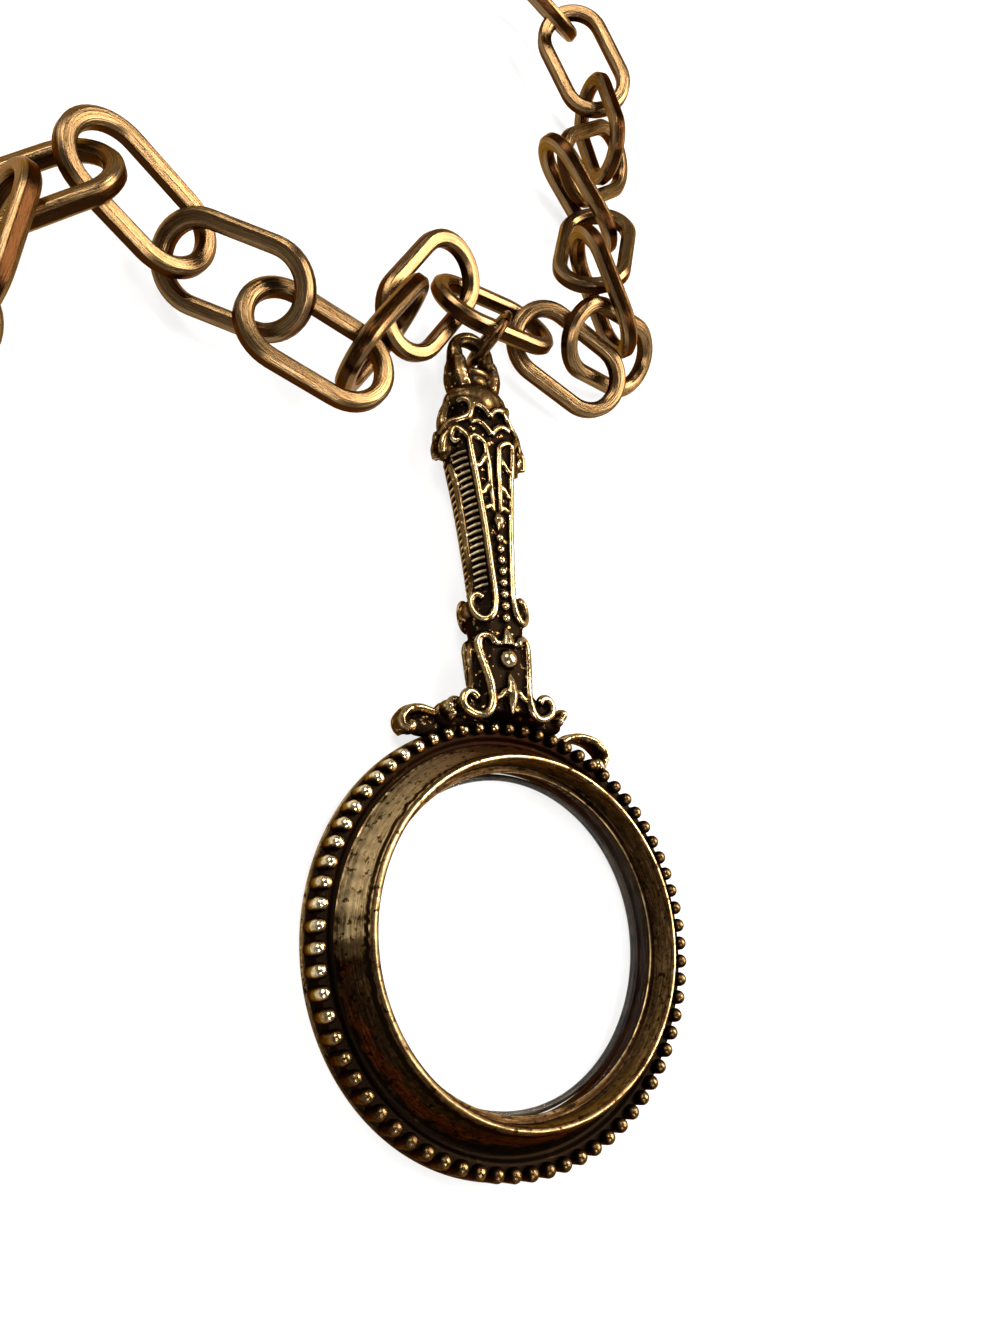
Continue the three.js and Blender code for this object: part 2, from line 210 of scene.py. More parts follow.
COLLAR_PROFILE = [
    (16.4, 0.1), (16.5, 0.0), (20.6, 0.0), (21.05, 0.06), (21.28, 0.3), (21.28, 0.55), (21.15, 0.8),
    (20.95, 1.0), (20.75, 1.08), (20.66, 1.2), (20.6, 2.3), (19.6, 2.3), (19.25, 1.95), (19.0, 1.9),
    (18.75, 2.05), (18.35, 2.55), (17.95, 3.25), (17.62, 4.05), (17.38, 4.85), (17.22, 5.45), (17.08, 5.8),
    (16.86, 5.98), (16.62, 5.99), (16.44, 5.86), (16.38, 5.6), (16.4, 3.62), (16.3, 3.5), (15.8, 3.48),
    (15.7, 3.38), (15.7, 3.02), (15.8, 2.92), (16.3, 2.9), (16.4, 2.8),
]
PROFILE_PARTS = 4
COLLAR_STEPS = 300
COLLAR_CREASE = 50
BORE_EDGE = 16.46
BORE_TOP = 5.75
LEDGE_TOP = 3.62
LEDGE_FACE = 3.3
LEDGE_EDGE = 15.72
LIP_EDGE = 17.12
LIP_MIDDLE = 16.8
LIP_HEIGHT = 5.55
SEAM_RADIUS = 17.26
SEAM_HEIGHT = 4.5
COLLAR_MIDDLE = 17.9
COLLAR_FOOT = 18.66
GROOVE_EDGE = 18.85
FLANGE_EDGE = 20.4
FLANGE_HEIGHT = 1.6
RIM_RADIUS = 21.28
STAIN_ANGLES = (185, 215, 255, 300)
STAIN_RADII = (18.45, 18.15, 17.85, 17.7)
TURNING_PITCH = 5
TURNING_ROUND = 7


def apply_modifiers(piece):
    pick(piece)
    for modifier in list(piece.modifiers):
        bpy.ops.object.modifier_apply(modifier=modifier.name)


def smooth_faces(piece, crease):
    pick(piece)
    bpy.ops.object.shade_smooth_by_angle(angle=math.radians(crease))


def blank_curve(kind):
    deselect()
    bpy.ops.curve.primitive_bezier_curve_add(location=(0, 0, 0))
    line = bpy.context.object
    line.data.dimensions = "3D"
    line.data.splines.clear()
    return line, line.data.splines.new(kind)


def drawn_line(name, points, closed=False):
    line, spline = blank_curve("POLY")
    line.name = name
    spline.points.add(len(points) - 1)
    for point, place in zip(spline.points, points):
        point.co = (*place, 1)
    spline.use_cyclic_u = closed
    return line


def finer(profile, parts):
    points = []
    for (r, z), (next_r, next_z) in zip(profile, profile[1:] + profile[:1]):
        for i in range(parts):
            share = i / parts
            points.append((r + (next_r - r) * share, z + (next_z - z) * share))
    return points


def outward_normals(piece):
    pick(piece)
    bpy.ops.object.mode_set(mode="EDIT")
    bpy.ops.mesh.select_all(action="SELECT")
    bpy.ops.mesh.normals_make_consistent(inside=False)
    bpy.ops.object.mode_set(mode="OBJECT")


def turned_ring(name, profile, steps):
    line = drawn_line(name, [spot(r, 0, z) for r, z in profile], closed=True)
    pick(line)
    bpy.ops.object.convert(target="MESH")
    ring = bpy.context.object
    scene.cursor.location = BEZEL_CENTRE
    bpy.ops.object.origin_set(type="ORIGIN_CURSOR")
    lathe = ring.modifiers.new("lathe", "SCREW")
    lathe.axis = "Z"
    lathe.steps = steps
    lathe.render_steps = steps
    lathe.use_merge_vertices = True
    lathe.merge_threshold = 1e-6
    apply_modifiers(ring)
    bpy.ops.object.transform_apply()
    outward_normals(ring)
    return ring


def place_of_points(piece):
    flat = np.empty(len(piece.data.vertices) * 3, np.float32)
    piece.data.vertices.foreach_get("co", flat)
    return flat.reshape(-1, 3)


def write_attribute(piece, name, values):
    values = np.ascontiguousarray(values, np.float32)
    kind = "FLOAT" if values.ndim == 1 else "FLOAT_VECTOR"
    attribute = piece.data.attributes.new(name, kind, "POINT")
    attribute.data.foreach_set("value" if values.ndim == 1 else "vector", values.ravel())


def step_between(values, low, high):
    share = np.clip((values - low) / (high - low), 0, 1)
    return share * share * (3 - 2 * share)


def bump_at(values, middle, width):
    return np.exp(-((values - middle) / width) ** 2)


def wobble(angle, low, high, phase):
    """An uneven line round the ring, between about -1 and 1."""
    total = np.zeros_like(angle)
    for turns in range(low, high):
        total += np.sin(turns * angle + phase * turns * turns)
    return total / math.sqrt(high - low)


def round_ring(piece):
    """Radius and height in millimetres and angle in degrees of each point, from the bezel's middle."""
    spots = (place_of_points(piece) - np.array(BEZEL_CENTRE)) / MM
    radius = np.hypot(spots[:, 0], spots[:, 1])
    return radius, spots[:, 2], np.degrees(np.arctan2(spots[:, 1], spots[:, 0])) % 360


def rubbed_and_lit_side(degrees):
    """The upper left of the bezel, from 0 to 1: rubbed bright by wear and painted brighter as the lit side."""
    return step_between(degrees, 85, 125) * (1 - step_between(degrees, 175, 222))


collar = turned_ring("bezel_collar", finer(COLLAR_PROFILE, PROFILE_PARTS), COLLAR_STEPS)
smooth_faces(collar, COLLAR_CREASE)
radius, height, degrees = round_ring(collar)
angle = np.radians(degrees)
uneven = wobble(angle, 6, 60, 1.7)
ragged = wobble(angle, 30, 140, 0.9)
# The upper left is partly worn bright and partly painted lighter, as the side the key lamp lights.
rubbed_and_lit = step_between(degrees, 80, 118) * (1 - step_between(degrees + 5 * uneven, 168, 190))
# A painted highlight streak runs round the collar's upper left.
painted_highlight_streak = bump_at(radius - 0.004 * (degrees - 150), 17.95, 0.12) * bump_at(degrees, 160, 16)
tone = 0.25 + 0.54 * rubbed_and_lit + 0.14 * rubbed_and_lit * bump_at(radius, COLLAR_MIDDLE, 0.35) + 0.2 * painted_highlight_streak
tone += 0.12 * bump_at(degrees, 70, 25)
tone -= 0.3 * step_between(radius + 0.09 * ragged + 0.1 * uneven, COLLAR_FOOT, COLLAR_FOOT + 0.14)
seam = 1 - step_between(np.abs(radius - SEAM_RADIUS - 0.035 * ragged), 0.03, 0.1)
tone -= 0.65 * seam * (height > SEAM_HEIGHT)
lower = step_between(degrees + 6 * uneven, 182, 200) * (1 - step_between(degrees, 278, 310))
stain_middle = np.interp(degrees, STAIN_ANGLES, STAIN_RADII) - 0.13 * uneven
stain = lower * (1 - step_between(np.abs(radius - stain_middle), 0.26, 0.4))
tone += 0.07 * stain - 0.12 * lower * step_between(radius - stain_middle, 0.3, 0.45)
on_lip = (height > LIP_HEIGHT) & (radius < LIP_EDGE)
tone = np.where(on_lip, 0.3 + 0.1 * rubbed_and_lit + 0.46 * bump_at(radius, LIP_MIDDLE, 0.12), tone)
in_bore = radius < BORE_EDGE
bore_tone = 0.36 - 0.1 * bump_at(degrees, 45, 38) + 0.1 * bump_at(degrees, 300, 35)
tone = np.where(in_bore & (height < BORE_TOP), bore_tone, tone)
tone = np.where(in_bore & (height < LEDGE_TOP), 0.28 + 0.5 * bump_at(radius, LEDGE_EDGE, 0.06), tone)
tone = np.where(in_bore & (height < LEDGE_FACE), 0.18, tone)
tone = np.where(radius > GROOVE_EDGE, 0.02, tone)
on_flange = (radius > FLANGE_EDGE) & (height < FLANGE_HEIGHT)
# The rim, too, is painted brighter on the upper left, partly as wear and partly as painted light.
rim_tone = step_between(radius, 20.95, 21.2) * (0.17 + 0.32 * rubbed_and_lit_side(degrees))
rim_tone += 0.03 + 0.14 * bump_at(radius, RIM_RADIUS, 0.07)
write_attribute(collar, "raised_and_lit", np.where(on_flange, rim_tone, tone))
ruddy = np.maximum(stain, 0.55 * bump_at(degrees, 82, 24) * (radius > 17.1)) * ~on_flange
write_attribute(collar, "ruddy", ruddy)
turned_way = [(radius - height) * TURNING_PITCH, TURNING_ROUND * np.cos(angle), TURNING_ROUND * np.sin(angle)]
write_attribute(collar, "lay", np.stack(turned_way, 1))

# Antique gold: a dark lacquer is rubbed off the raised parts of the casting and stays in the hollows.
# Each piece's level runs from 0 in the hollows to 1 on the rubbed edges, with painted light and shade added:
# tops and the upper left painted brighter, sides and the gaps between parts darker. ruddy is where the
# lacquer shows red.

HOLLOW_COLOUR = (0.006, 0.0035, 0.002, 1)
SHADE_COLOUR = (0.042, 0.021, 0.008, 1)
GOLD_COLOUR = (0.17, 0.108, 0.044, 1)
RUBBED_COLOUR = (0.45, 0.33, 0.175, 1)
TURNED_COLOUR = (0.96, 0.71, 0.36, 1)
PALE_COLOUR = (0.8, 0.66, 0.42, 1)
RUDDY_TINT = (1.9, 0.85, 0.5, 1)
EDGE_TINT = (0.6, 0.45, 0.28, 1)
CLOUD_SCALE = 260
SPECK_SCALE = 2600
CRUMB_SCALE = 1500
HOLLOW_ROUGHNESS = 0.55
CAST_RELIEF = 0.00006


def grain(nodes, links, scale, detail, column, row, vector):
    noise = node_at(nodes, "ShaderNodeTexNoise", column, row)
    noise.inputs["Scale"].default_value = scale
    noise.inputs["Detail"].default_value = detail
    noise.inputs["Roughness"].default_value = 0.6
    links.new(vector, noise.inputs["Vector"])
    return noise


def add_share(nodes, links, value, share, onto, column, row):
    """onto + share * value"""
    total = node_at(nodes, "ShaderNodeMath", column, row, operation="MULTIPLY_ADD")
    links.new(value, total.inputs[0])
    total.inputs[1].default_value = share
    links.new(onto, total.inputs[2])
    return total


def colour_ramp(nodes, links, value, column, row, stops):
    ramp = node_at(nodes, "ShaderNodeValToRGB", column, row)
    for element, (position, colour) in zip(ramp.color_ramp.elements, (stops[0], stops[-1])):
        element.position = position
        element.color = colour
    for position, colour in stops[1:-1]:
        ramp.color_ramp.elements.new(position).color = colour
    links.new(value, ramp.inputs["Fac"])
    return ramp


def roughen(nodes, links, height, strength, distance):
    bump = node_at(nodes, "ShaderNodeBump", -1, 3)
    bump.inputs["Strength"].default_value = strength
    bump.inputs["Distance"].default_value = distance
    links.new(height, bump.inputs["Height"])
    links.new(bump.outputs["Normal"], nodes["Principled BSDF"].inputs["Normal"])


def antique_gold(name, smear, pits, glints=0, polish=0.24, rubbed_and_lit=RUBBED_COLOUR, relief=0.25, turned=False):
    """smear, pits: how unevenly it is rubbed. glints: bright crumbs, dark below 0. turned: on a lathe."""
    finish, nodes, links = new_finish(name)
    shader = nodes["Principled BSDF"]
    shader.inputs["Metallic"].default_value = 1
    shader.inputs["Specular Tint"].default_value = EDGE_TINT
    where = node_at(nodes, "ShaderNodeTexCoord", -7, 0)
    raised_and_lit = node_at(nodes, "ShaderNodeAttribute", -7, 2, attribute_name="raised_and_lit")
    if turned:
        lay = node_at(nodes, "ShaderNodeAttribute", -7, 3, attribute_name="lay")
        cloud = grain(nodes, links, 1, 6, -6, 0, lay.outputs["Vector"])
    else:
        cloud = grain(nodes, links, CLOUD_SCALE, 5, -6, 0, where.outputs["Object"])
    speck = grain(nodes, links, SPECK_SCALE, 3, -6, 1, where.outputs["Object"])
    clouded = add_share(nodes, links, cloud.outputs["Fac"], smear, raised_and_lit.outputs["Fac"], -5, 0)
    specked = add_share(nodes, links, speck.outputs["Fac"], pits, clouded.outputs[0], -4, 0)
    level = node_at(nodes, "ShaderNodeMath", -3, 0, operation="SUBTRACT")
    links.new(specked.outputs[0], level.inputs[0])
    level.inputs[1].default_value = (smear + pits) / 2
    if glints:
        sand = grain(nodes, links, CRUMB_SCALE, 2, -4, 1, where.outputs["Object"])
        crumbs = range_node(nodes, links, sand.outputs["Fac"], -3, 1, 0.6, 0.67, 0, 1)
        level = add_share(nodes, links, crumbs.outputs["Result"], glints, level.outputs[0], -2, 0)
    stops = [(0.12, HOLLOW_COLOUR), (0.34, SHADE_COLOUR), (0.62, GOLD_COLOUR), (0.95, rubbed_and_lit)]
    colour = colour_ramp(nodes, links, level.outputs[0], -1, 0, stops).outputs["Color"]
    if turned:
        red = node_at(nodes, "ShaderNodeAttribute", -2, 3, attribute_name="ruddy")
        tint = node_at(nodes, "ShaderNodeMix", 0, 1, data_type="RGBA", blend_type="MULTIPLY")
        links.new(red.outputs["Fac"], tint.inputs[0])
        links.new(colour, tint.inputs[6])
        tint.inputs[7].default_value = RUDDY_TINT
        colour = tint.outputs[2]
    links.new(colour, shader.inputs["Base Color"])
    gloss = range_node(nodes, links, level.outputs[0], -1, 2, 0.1, 0.6, HOLLOW_ROUGHNESS, polish)
    links.new(gloss.outputs["Result"], shader.inputs["Roughness"])
    roughen(nodes, links, speck.outputs["Fac"], relief, CAST_RELIEF)
    return finish


collar.data.materials.append(antique_gold(
    "antique_gold_turned", 0.8, 0.4, glints=-0.36, polish=0.4, rubbed_and_lit=TURNED_COLOUR, turned=True))
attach(collar, "pendant")
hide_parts("pendant_frame")

# The bezel's edge is cast with seventy beads, each running back to the flange as a short rib.
# One bead is shaped from a ball and copied round the ring.

BEAD_COUNT = 70
BEAD_RING = 20.5
BEAD_RADIUS = 0.7
BEAD_HEIGHT = 2.6
BEAD_ROOT = 0.1
BEAD_TAPER = (0.95, 1.02, 1)
BEAD_DROP = (0.1, 0, -1.5)


def normals_of_points(piece):
    return np.array([vertex.normal for vertex in piece.data.vertices], np.float32)


deselect()
bead_place = spot(BEAD_RING, 0, BEAD_HEIGHT)
bpy.ops.mesh.primitive_uv_sphere_add(segments=20, ring_count=14, radius=BEAD_RADIUS * MM, location=bead_place)
beads = bpy.context.object
beads.name = "bezel_beads"
bpy.ops.object.transform_apply()
bpy.ops.object.mode_set(mode="EDIT")
bpy.ops.mesh.select_all(action="DESELECT")
bpy.ops.object.mode_set(mode="OBJECT")
for vertex in beads.data.vertices:
    vertex.select = vertex.co.z < bead_place.z - BEAD_ROOT * MM
bpy.ops.object.mode_set(mode="EDIT")
bpy.ops.transform.resize(value=BEAD_TAPER, center_override=bead_place)
bpy.ops.transform.translate(value=Vector(BEAD_DROP) * MM)
bpy.ops.mesh.select_all(action="SELECT")
bpy.ops.mesh.spin(
    steps=BEAD_COUNT - 1, dupli=True, angle=math.tau * (BEAD_COUNT - 1) / BEAD_COUNT,
    center=BEZEL_CENTRE, axis=(0, 0, 1))
bpy.ops.object.mode_set(mode="OBJECT")
bpy.ops.object.shade_smooth()
radius, height, degrees = round_ring(beads)
normals = normals_of_points(beads)
angle = np.radians(degrees)
outward = np.clip(normals[:, 0] * np.cos(angle) + normals[:, 1] * np.sin(angle), 0, 1)
# Bead tops are painted brighter and the upper left brighter still, partly wear and partly painted light.
lit_top = step_between(normals[:, 2], 0.25, 0.95)
side = np.sqrt(outward) * step_between(height, 0.7, 1.7)
worn_and_lit = rubbed_and_lit_side(degrees)
# The flanks that face the next bead are painted darker, a painted shade in the gaps between beads.
round_way = normals[:, 1] * np.cos(angle) - normals[:, 0] * np.sin(angle)
ridge = 1 - step_between(np.abs(round_way), 0.5, 0.9)
tone = 0.02 + ridge * ((0.46 + 0.4 * worn_and_lit) * lit_top + (1 - lit_top) * (0.2 + 0.62 * worn_and_lit) * side)
write_attribute(beads, "raised_and_lit", np.clip(tone, 0, 0.95))
beads.data.materials.append(antique_gold(
    "antique_gold_beads", 0.4, 0.6, polish=0.21, rubbed_and_lit=PALE_COLOUR, relief=0.9))
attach(beads, "pendant")
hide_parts("pendant_frame")

# The handle is cast solid in one with the bezel: a core, and on each quarter of it scrolled rods, a ladder of
# ribs, an openwork leaf and a column of beads. The front left quarter is modelled, then mirrored to the
# right and to the back. At its ends are the crest scrolls on the bezel and the eye of the bail.

AXIS_HEIGHT = 3.1
CORE_STATIONS = [
    (21.35, 4.9, 0.6), (21.7, 4.4, 1.45), (23.6, 3.2, 1.75), (27.0, 3.05, 1.75), (29.6, 3.0, 1.75),
    (31.2, 3.2, 1.95), (32.6, 3.1, 2.05), (34.0, 2.5, 2.1), (35.5, 2.15, 2.1), (40.0, 2.25, 2.2),
    (45.0, 2.6, 2.3), (48.5, 3.1, 2.35), (50.2, 4.0, 2.4), (52.0, 4.6, 2.45), (54.5, 4.3, 2.45),
    (56.2, 3.6, 2.2), (57.5, 2.5, 1.8), (59.0, 1.7, 1.5), (60.5, 1.4, 1.3), (61.6, 1.2, 1.1),
]
CORE_SECTION = [
    (1, 0.2), (0.86, 0.68), (0.6, 1), (-0.6, 1), (-0.86, 0.68), (-1, 0.2),
    (-1, -0.2), (-0.86, -0.68), (-0.6, -1), (0.6, -1), (0.86, -0.68), (1, -0.2),
]
FRONT_ROD = [
    (-2.75, 51.9, 2.5), (-2.55, 49.9, 2.5), (-2.2, 47.4, 2.45), (-1.9, 44.8, 2.4), (-1.6, 41.8, 2.4),
    (-1.4, 39.0, 2.35), (-1.25, 36.8, 2.3), (-1.1, 34.5, 2.3), (-1.15, 33.0, 2.3), (-1.6, 31.7, 2.2),
    (-2.3, 31.3, 1.9), (-3.0, 31.8, 1.5), (-3.35, 32.8, 1.2), (-3.15, 33.8, 1.2), (-2.6, 34.1, 1.5),
    (-2.3, 33.6, 1.8),
]
FRONT_ROD_STRAIGHT = 10
SIDE_BAND = [
    (-3.9, 49.8, 0), (-3.2, 48.2, 0), (-2.75, 45.0, 0), (-2.35, 40.0, 0), (-2.15, 35.6, 0), (-2.6, 34.2, 0),
]
RIB_LINES = [
    [(-4.0, 50.6, 0.55), (-3.1, 47.5, 0.55), (-2.65, 43.7, 0.55), (-2.4, 40.1, 0.55), (-2.2, 35.2, 0.55)],
    [(-3.5, 50.5, 1.6), (-2.85, 47.3, 1.6), (-2.35, 43.5, 1.6), (-2.1, 39.9, 1.55), (-1.9, 35.0, 1.5)],
    [(-3.0, 50.4, 2.2), (-2.55, 47.1, 2.2), (-2.0, 43.3, 2.15), (-1.75, 39.7, 2.1), (-1.55, 34.9, 2.0)],
]
RIB_RADII = [0.22, 0.25, 0.22]
RIB_COUNT = 21
RIB_FIRST = 35.2
RIB_LAST = 50.4
ARCH = [
    (-5.2, 50.5, 0.7), (-5.1, 51.9, 1.0), (-4.5, 52.9, 1.3), (-3.9, 53.2, 1.8), (-3.4, 52.8, 2.2),
    (-2.75, 51.9, 2.5),
]
ARCH_CURL = [(-3.9, 53.2, 1.8), (-4.3, 52.6, 1.6), (-4.15, 51.8, 1.6), (-3.6, 51.7, 2.0)]
KNOB_SCROLL = [
    (-5.1, 52.7, 0.6), (-4.4, 54.0, 1.3), (-3.5, 54.2, 2.1), (-2.7, 54.6, 2.6), (-2.3, 55.5, 2.7),
    (-2.3, 56.5, 2.5), (-2.8, 57.0, 2.1), (-3.3, 56.8, 1.6),
]
KNOB_EDGE = [(-2.9, 58.0, 0), (-3.9, 56.4, 0), (-4.4, 54.8, 0), (-4.5, 53.2, 0)]
CAP_EDGE = [(-2.4, 57.0, 2.35), (-1.8, 56.4, 2.65), (-0.9, 56.1, 2.8), (-0.35, 55.6, 2.85), (0, 55.0, 2.85)]
WAVE = [(-2.6, 53.9, 2.5), (-1.6, 54.2, 2.65), (-0.6, 53.6, 2.75), (0, 52.8, 2.75)]
CELL_ARCH = [(-2.75, 51.9, 2.5), (-2.3, 52.3, 2.6), (-1.6, 52.1, 2.65), (-0.9, 51.5, 2.65)]
INNER_BRANCH = [
    (-0.9, 51.5, 2.65), (-0.75, 50.1, 2.65), (-0.6, 48.5, 2.6), (-0.6, 46.8, 2.55), (-0.5, 45.2, 2.5),
    (-0.4, 43.6, 2.4),
]
STRUTS = [
    [(-0.75, 50.6, 2.6), (-1.3, 49.6, 2.6), (-1.8, 48.9, 2.55), (-2.35, 48.6, 2.45)],
    [(-0.6, 46.8, 2.55), (-1.1, 46.4, 2.5), (-1.55, 45.7, 2.5), (-1.95, 45.5, 2.4)],
    [(-0.45, 43.9, 2.4), (-0.9, 44.2, 2.4), (-1.3, 43.9, 2.4), (-1.75, 43.6, 2.35)],
]
TEARDROP = [(0, 43.4, 2.4), (0, 42.5, 2.6), (0, 41.3, 2.4)]
BEAD_COLUMN = (40.5, 39.25, 38.0, 36.7, 35.4, 34.1, 32.8, 31.5)
COLUMN_BEAD = (0.5, 0.5, 0.48)
COLUMN_FOOT = 31.8
LEAF_TIP = [(0, 28.6, 2.0), (0, 29.5, 2.1), (0, 30.8, 2.0)]
TIP_WING = [(0, 28.9, 2.05), (-0.8, 28.8, 2.0), (-1.4, 28.7, 1.95)]
S_SCROLL = [
    (-1.4, 28.7, 2.0), (-1.7, 29.3, 1.9), (-2.2, 29.6, 1.65), (-2.75, 29.4, 1.35), (-2.95, 28.8, 1.25),
    (-2.85, 27.7, 1.35), (-2.6, 26.3, 1.6), (-2.35, 24.9, 1.8), (-2.2, 23.6, 1.85), (-2.3, 22.3, 1.9),
    (-2.8, 21.4, 1.8), (-3.5, 21.1, 1.65), (-4.6, 21.4, 1.5), (-5.3, 22.0, 1.4), (-5.3, 22.9, 1.4),
    (-4.8, 23.4, 1.45), (-4.1, 23.3, 1.5), (-3.7, 22.8, 1.5),
]
SIDE_WING = [(-2.9, 29.2, 0), (-3.15, 28.0, 0), (-3.1, 26.0, 0), (-3.3, 24.2, 0), (-4.4, 22.6, 0)]
LEAF = [(0, 25.7, 1.9), (0, 24.7, 2.05), (0, 23.4, 2.1), (0, 22.4, 2.05), (0, 21.2, 1.9)]
LEAF_WING = [(0, 23.6, 2.05), (-0.7, 23.6, 2.05), (-1.5, 23.0, 1.95), (-2.2, 22.6, 1.85)]
LEFT_CREST = [
    (-5.6, 19.8, -1.2), (-6.6, 21.1, -1.2), (-8.2, 21.7, -1.2), (-9.8, 21.9, -1.2), (-10.9, 21.4, -1.2),
    (-11.3, 20.4, -1.2), (-10.6, 19.7, -1.2),
]
RIGHT_CREST = [
    (7.6, 19.4, -1.2), (9.0, 20.0, -1.2), (11.1, 20.0, -1.2), (12.7, 19.2, -1.2), (13.3, 18.2, -1.2),
    (13.0, 17.4, -1.2), (12.3, 16.6, -1.2),
]
CREST_RADII = [0.5, 0.52, 0.55, 0.58, 0.56, 0.52, 0.6]
CREST_TALL = 2.6
BAIL_BASE = 59.4
BAIL_LENGTH = 8.2
BAIL_WIDTH = 5.6
BAIL_WIRE = 1.5
BAIL_STEPS = 12
BAIL_SINK = 0.8
BAIL_RADII = [1.15, 1.0] + [0.95] * 6 + [0.9, 0.84, 0.8, 0.8, 0.84, 0.95, 1.15]
BAIL_LEG = [(1.7, 59.6), (2.1, 61.2), (2.1, 63.4)]
BAIL_LEG_RADII = [1.2, 1.2, 1.0]
BAIL_LEG_TALL = 1.75
HANDLE_GRAIN = 0.00014
SOFTENING = 0.5
SOFTENING_ROUNDS = 2
CREST_ROUNDS = 14
AXIS_HALF = 1.1
AXIS_END = 43.6
AXIS_RISE = 1.6


def on_handle(place):
    return spot(place[0], place[1], place[2] + AXIS_HEIGHT)


def rod(points, radii, tall=1):
    """A cast rod through the points with a radius in millimetres at each, tall times as high as wide."""
    if not hasattr(radii, "__len__"):
        radii = [radii] * len(points)
    line, spline = blank_curve("BEZIER")
    spline.bezier_points.add(len(points) - 1)
    for knot, place, radius in zip(spline.bezier_points, points, radii):
        knot.co = on_handle(place)
        knot.radius = radius
        knot.handle_left_type = "AUTO"
        knot.handle_right_type = "AUTO"
    line.data.resolution_u = 6
    line.data.bevel_depth = MM
    line.data.bevel_resolution = 2
    line.data.use_fill_caps = True
    pick(line)
    bpy.ops.object.convert(target="MESH")
    if tall != 1:
        bpy.ops.object.mode_set(mode="EDIT")
        bpy.ops.mesh.select_all(action="SELECT")
        bpy.ops.transform.resize(value=(1, 1, tall), center_override=on_handle(points[0]))
        bpy.ops.object.mode_set(mode="OBJECT")
    return bpy.context.object


def lump(place, sizes):
    deselect()
    bpy.ops.mesh.primitive_uv_sphere_add(
        segments=16, ring_count=10, radius=MM, location=on_handle(place), scale=sizes)
    bpy.ops.object.transform_apply()
    return bpy.context.object


def joined(name, pieces):
    pick(*pieces)
    bpy.ops.object.join()
    whole = bpy.context.object
    whole.name = name
    return whole


def along_line(line, y):
    points = sorted(line, key=lambda point: point[1])
    ys = [point[1] for point in points]
    return (np.interp(y, ys, [p[0] for p in points]), y, np.interp(y, ys, [p[2] for p in points]))


first_y, width, depth = CORE_STATIONS[0]
deselect()
bpy.ops.mesh.primitive_circle_add(vertices=len(CORE_SECTION), radius=MM, fill_type="NGON", location=(0, 0, 0))
core = bpy.context.object
core.name = "handle_core"
for vertex, (across, up) in zip(core.data.vertices, CORE_SECTION):
    vertex.co = on_handle((across * width, first_y, up * depth))
bpy.ops.object.mode_set(mode="EDIT")
bpy.ops.mesh.select_all(action="SELECT")
for (y, next_width, next_depth), (last_y, _, _) in zip(CORE_STATIONS[1:], CORE_STATIONS):
    bpy.ops.mesh.extrude_region_move(TRANSFORM_OT_translate={"value": (0, (y - last_y) * MM, 0)})
    swell = (next_width / width, 1, next_depth / depth)
    bpy.ops.transform.resize(value=swell, center_override=on_handle((0, y, 0)))
    width, depth = next_width, next_depth
bpy.ops.object.mode_set(mode="OBJECT")
outward_normals(core)
ground = [
    lump((-8.4, 20.5, -1.5), (2.5, 1.2, 0.9)), lump((-5.8, 20.9, -0.8), (1.9, 0.9, 1.3)),
    lump((5.8, 20.9, -0.8), (1.9, 0.9, 1.3)), lump((0, 20.8, -2.0), (6.0, 1.3, 0.9)),
    lump((2.6, 21.6, -0.7), (2.4, 0.8, 1.4)), lump((-4.3, 22.1, 0), (1.35, 1.3, 1.25)),
    lump((4.3, 22.1, 0), (1.35, 1.3, 1.25)),
]
core = joined("handle_core", [core] + ground)

quarter = [
    rod(FRONT_ROD, [0.42] * 12 + [0.4, 0.38, 0.36, 0.34]),
    rod(SIDE_BAND, [0.4, 0.62, 0.62, 0.6, 0.6, 0.5]),
    rod(ARCH, 0.45), rod(ARCH_CURL, [0.4, 0.38, 0.36, 0.36]),
    rod(KNOB_SCROLL, [0.45, 0.44, 0.42, 0.42, 0.4, 0.4, 0.4, 0.36]),
    rod(KNOB_EDGE, [0.6, 0.7, 0.75, 0.65]),
    rod(CAP_EDGE, 0.36), rod(WAVE, 0.4), rod(CELL_ARCH, 0.38),
    rod(INNER_BRANCH, [0.4, 0.42, 0.42, 0.4, 0.38, 0.3]),
    rod(TEARDROP, [0.35, 0.7, 0.12]),
    rod(LEAF_TIP, [0.9, 0.6, 0.1]), rod(TIP_WING, [0.42, 0.34, 0.3]),
    rod(S_SCROLL, [0.44] * 4 + [0.5] * 6 + [0.46] * 8), rod(SIDE_WING, [0.45, 0.55, 0.5, 0.55, 0.6]),
    rod(LEAF, [0.15, 0.5, 0.72, 0.5, 0.12]), rod(LEAF_WING, [0.5, 0.42, 0.34, 0.3]),
    lump((0, 27.1, 1.9), (1.05, 1.05, 0.95)),
    lump((0, 57.3, 1.2), (2.2, 2.4, 1.7)), lump((0, 57.8, 0.1), (3.9, 2.5, 2.75)),
    lump((0, 60.4, 0), (2.0, 1.9, 1.9)),
    lump((-2.6, 32.6, 0.3), (1.35, 1.3, 1.25)),
    lump((-4.4, 51.4, 0.2), (1.05, 1.2, 1.1)),
    lump((-6.9, 21.9, -0.5), (0.6, 0.75, 1.3)), lump((-6.5, 21.2, -0.5), (0.5, 0.6, 1.1)),
]
for points in STRUTS:
    quarter.append(rod(points, [0.38, 0.4, 0.38, 0.32]))
for y in BEAD_COLUMN:
    height = along_line(FRONT_ROD[:FRONT_ROD_STRAIGHT], max(y, COLUMN_FOOT))[2] + 0.1
    quarter.append(lump((0, y, height), COLUMN_BEAD))
ribs = []
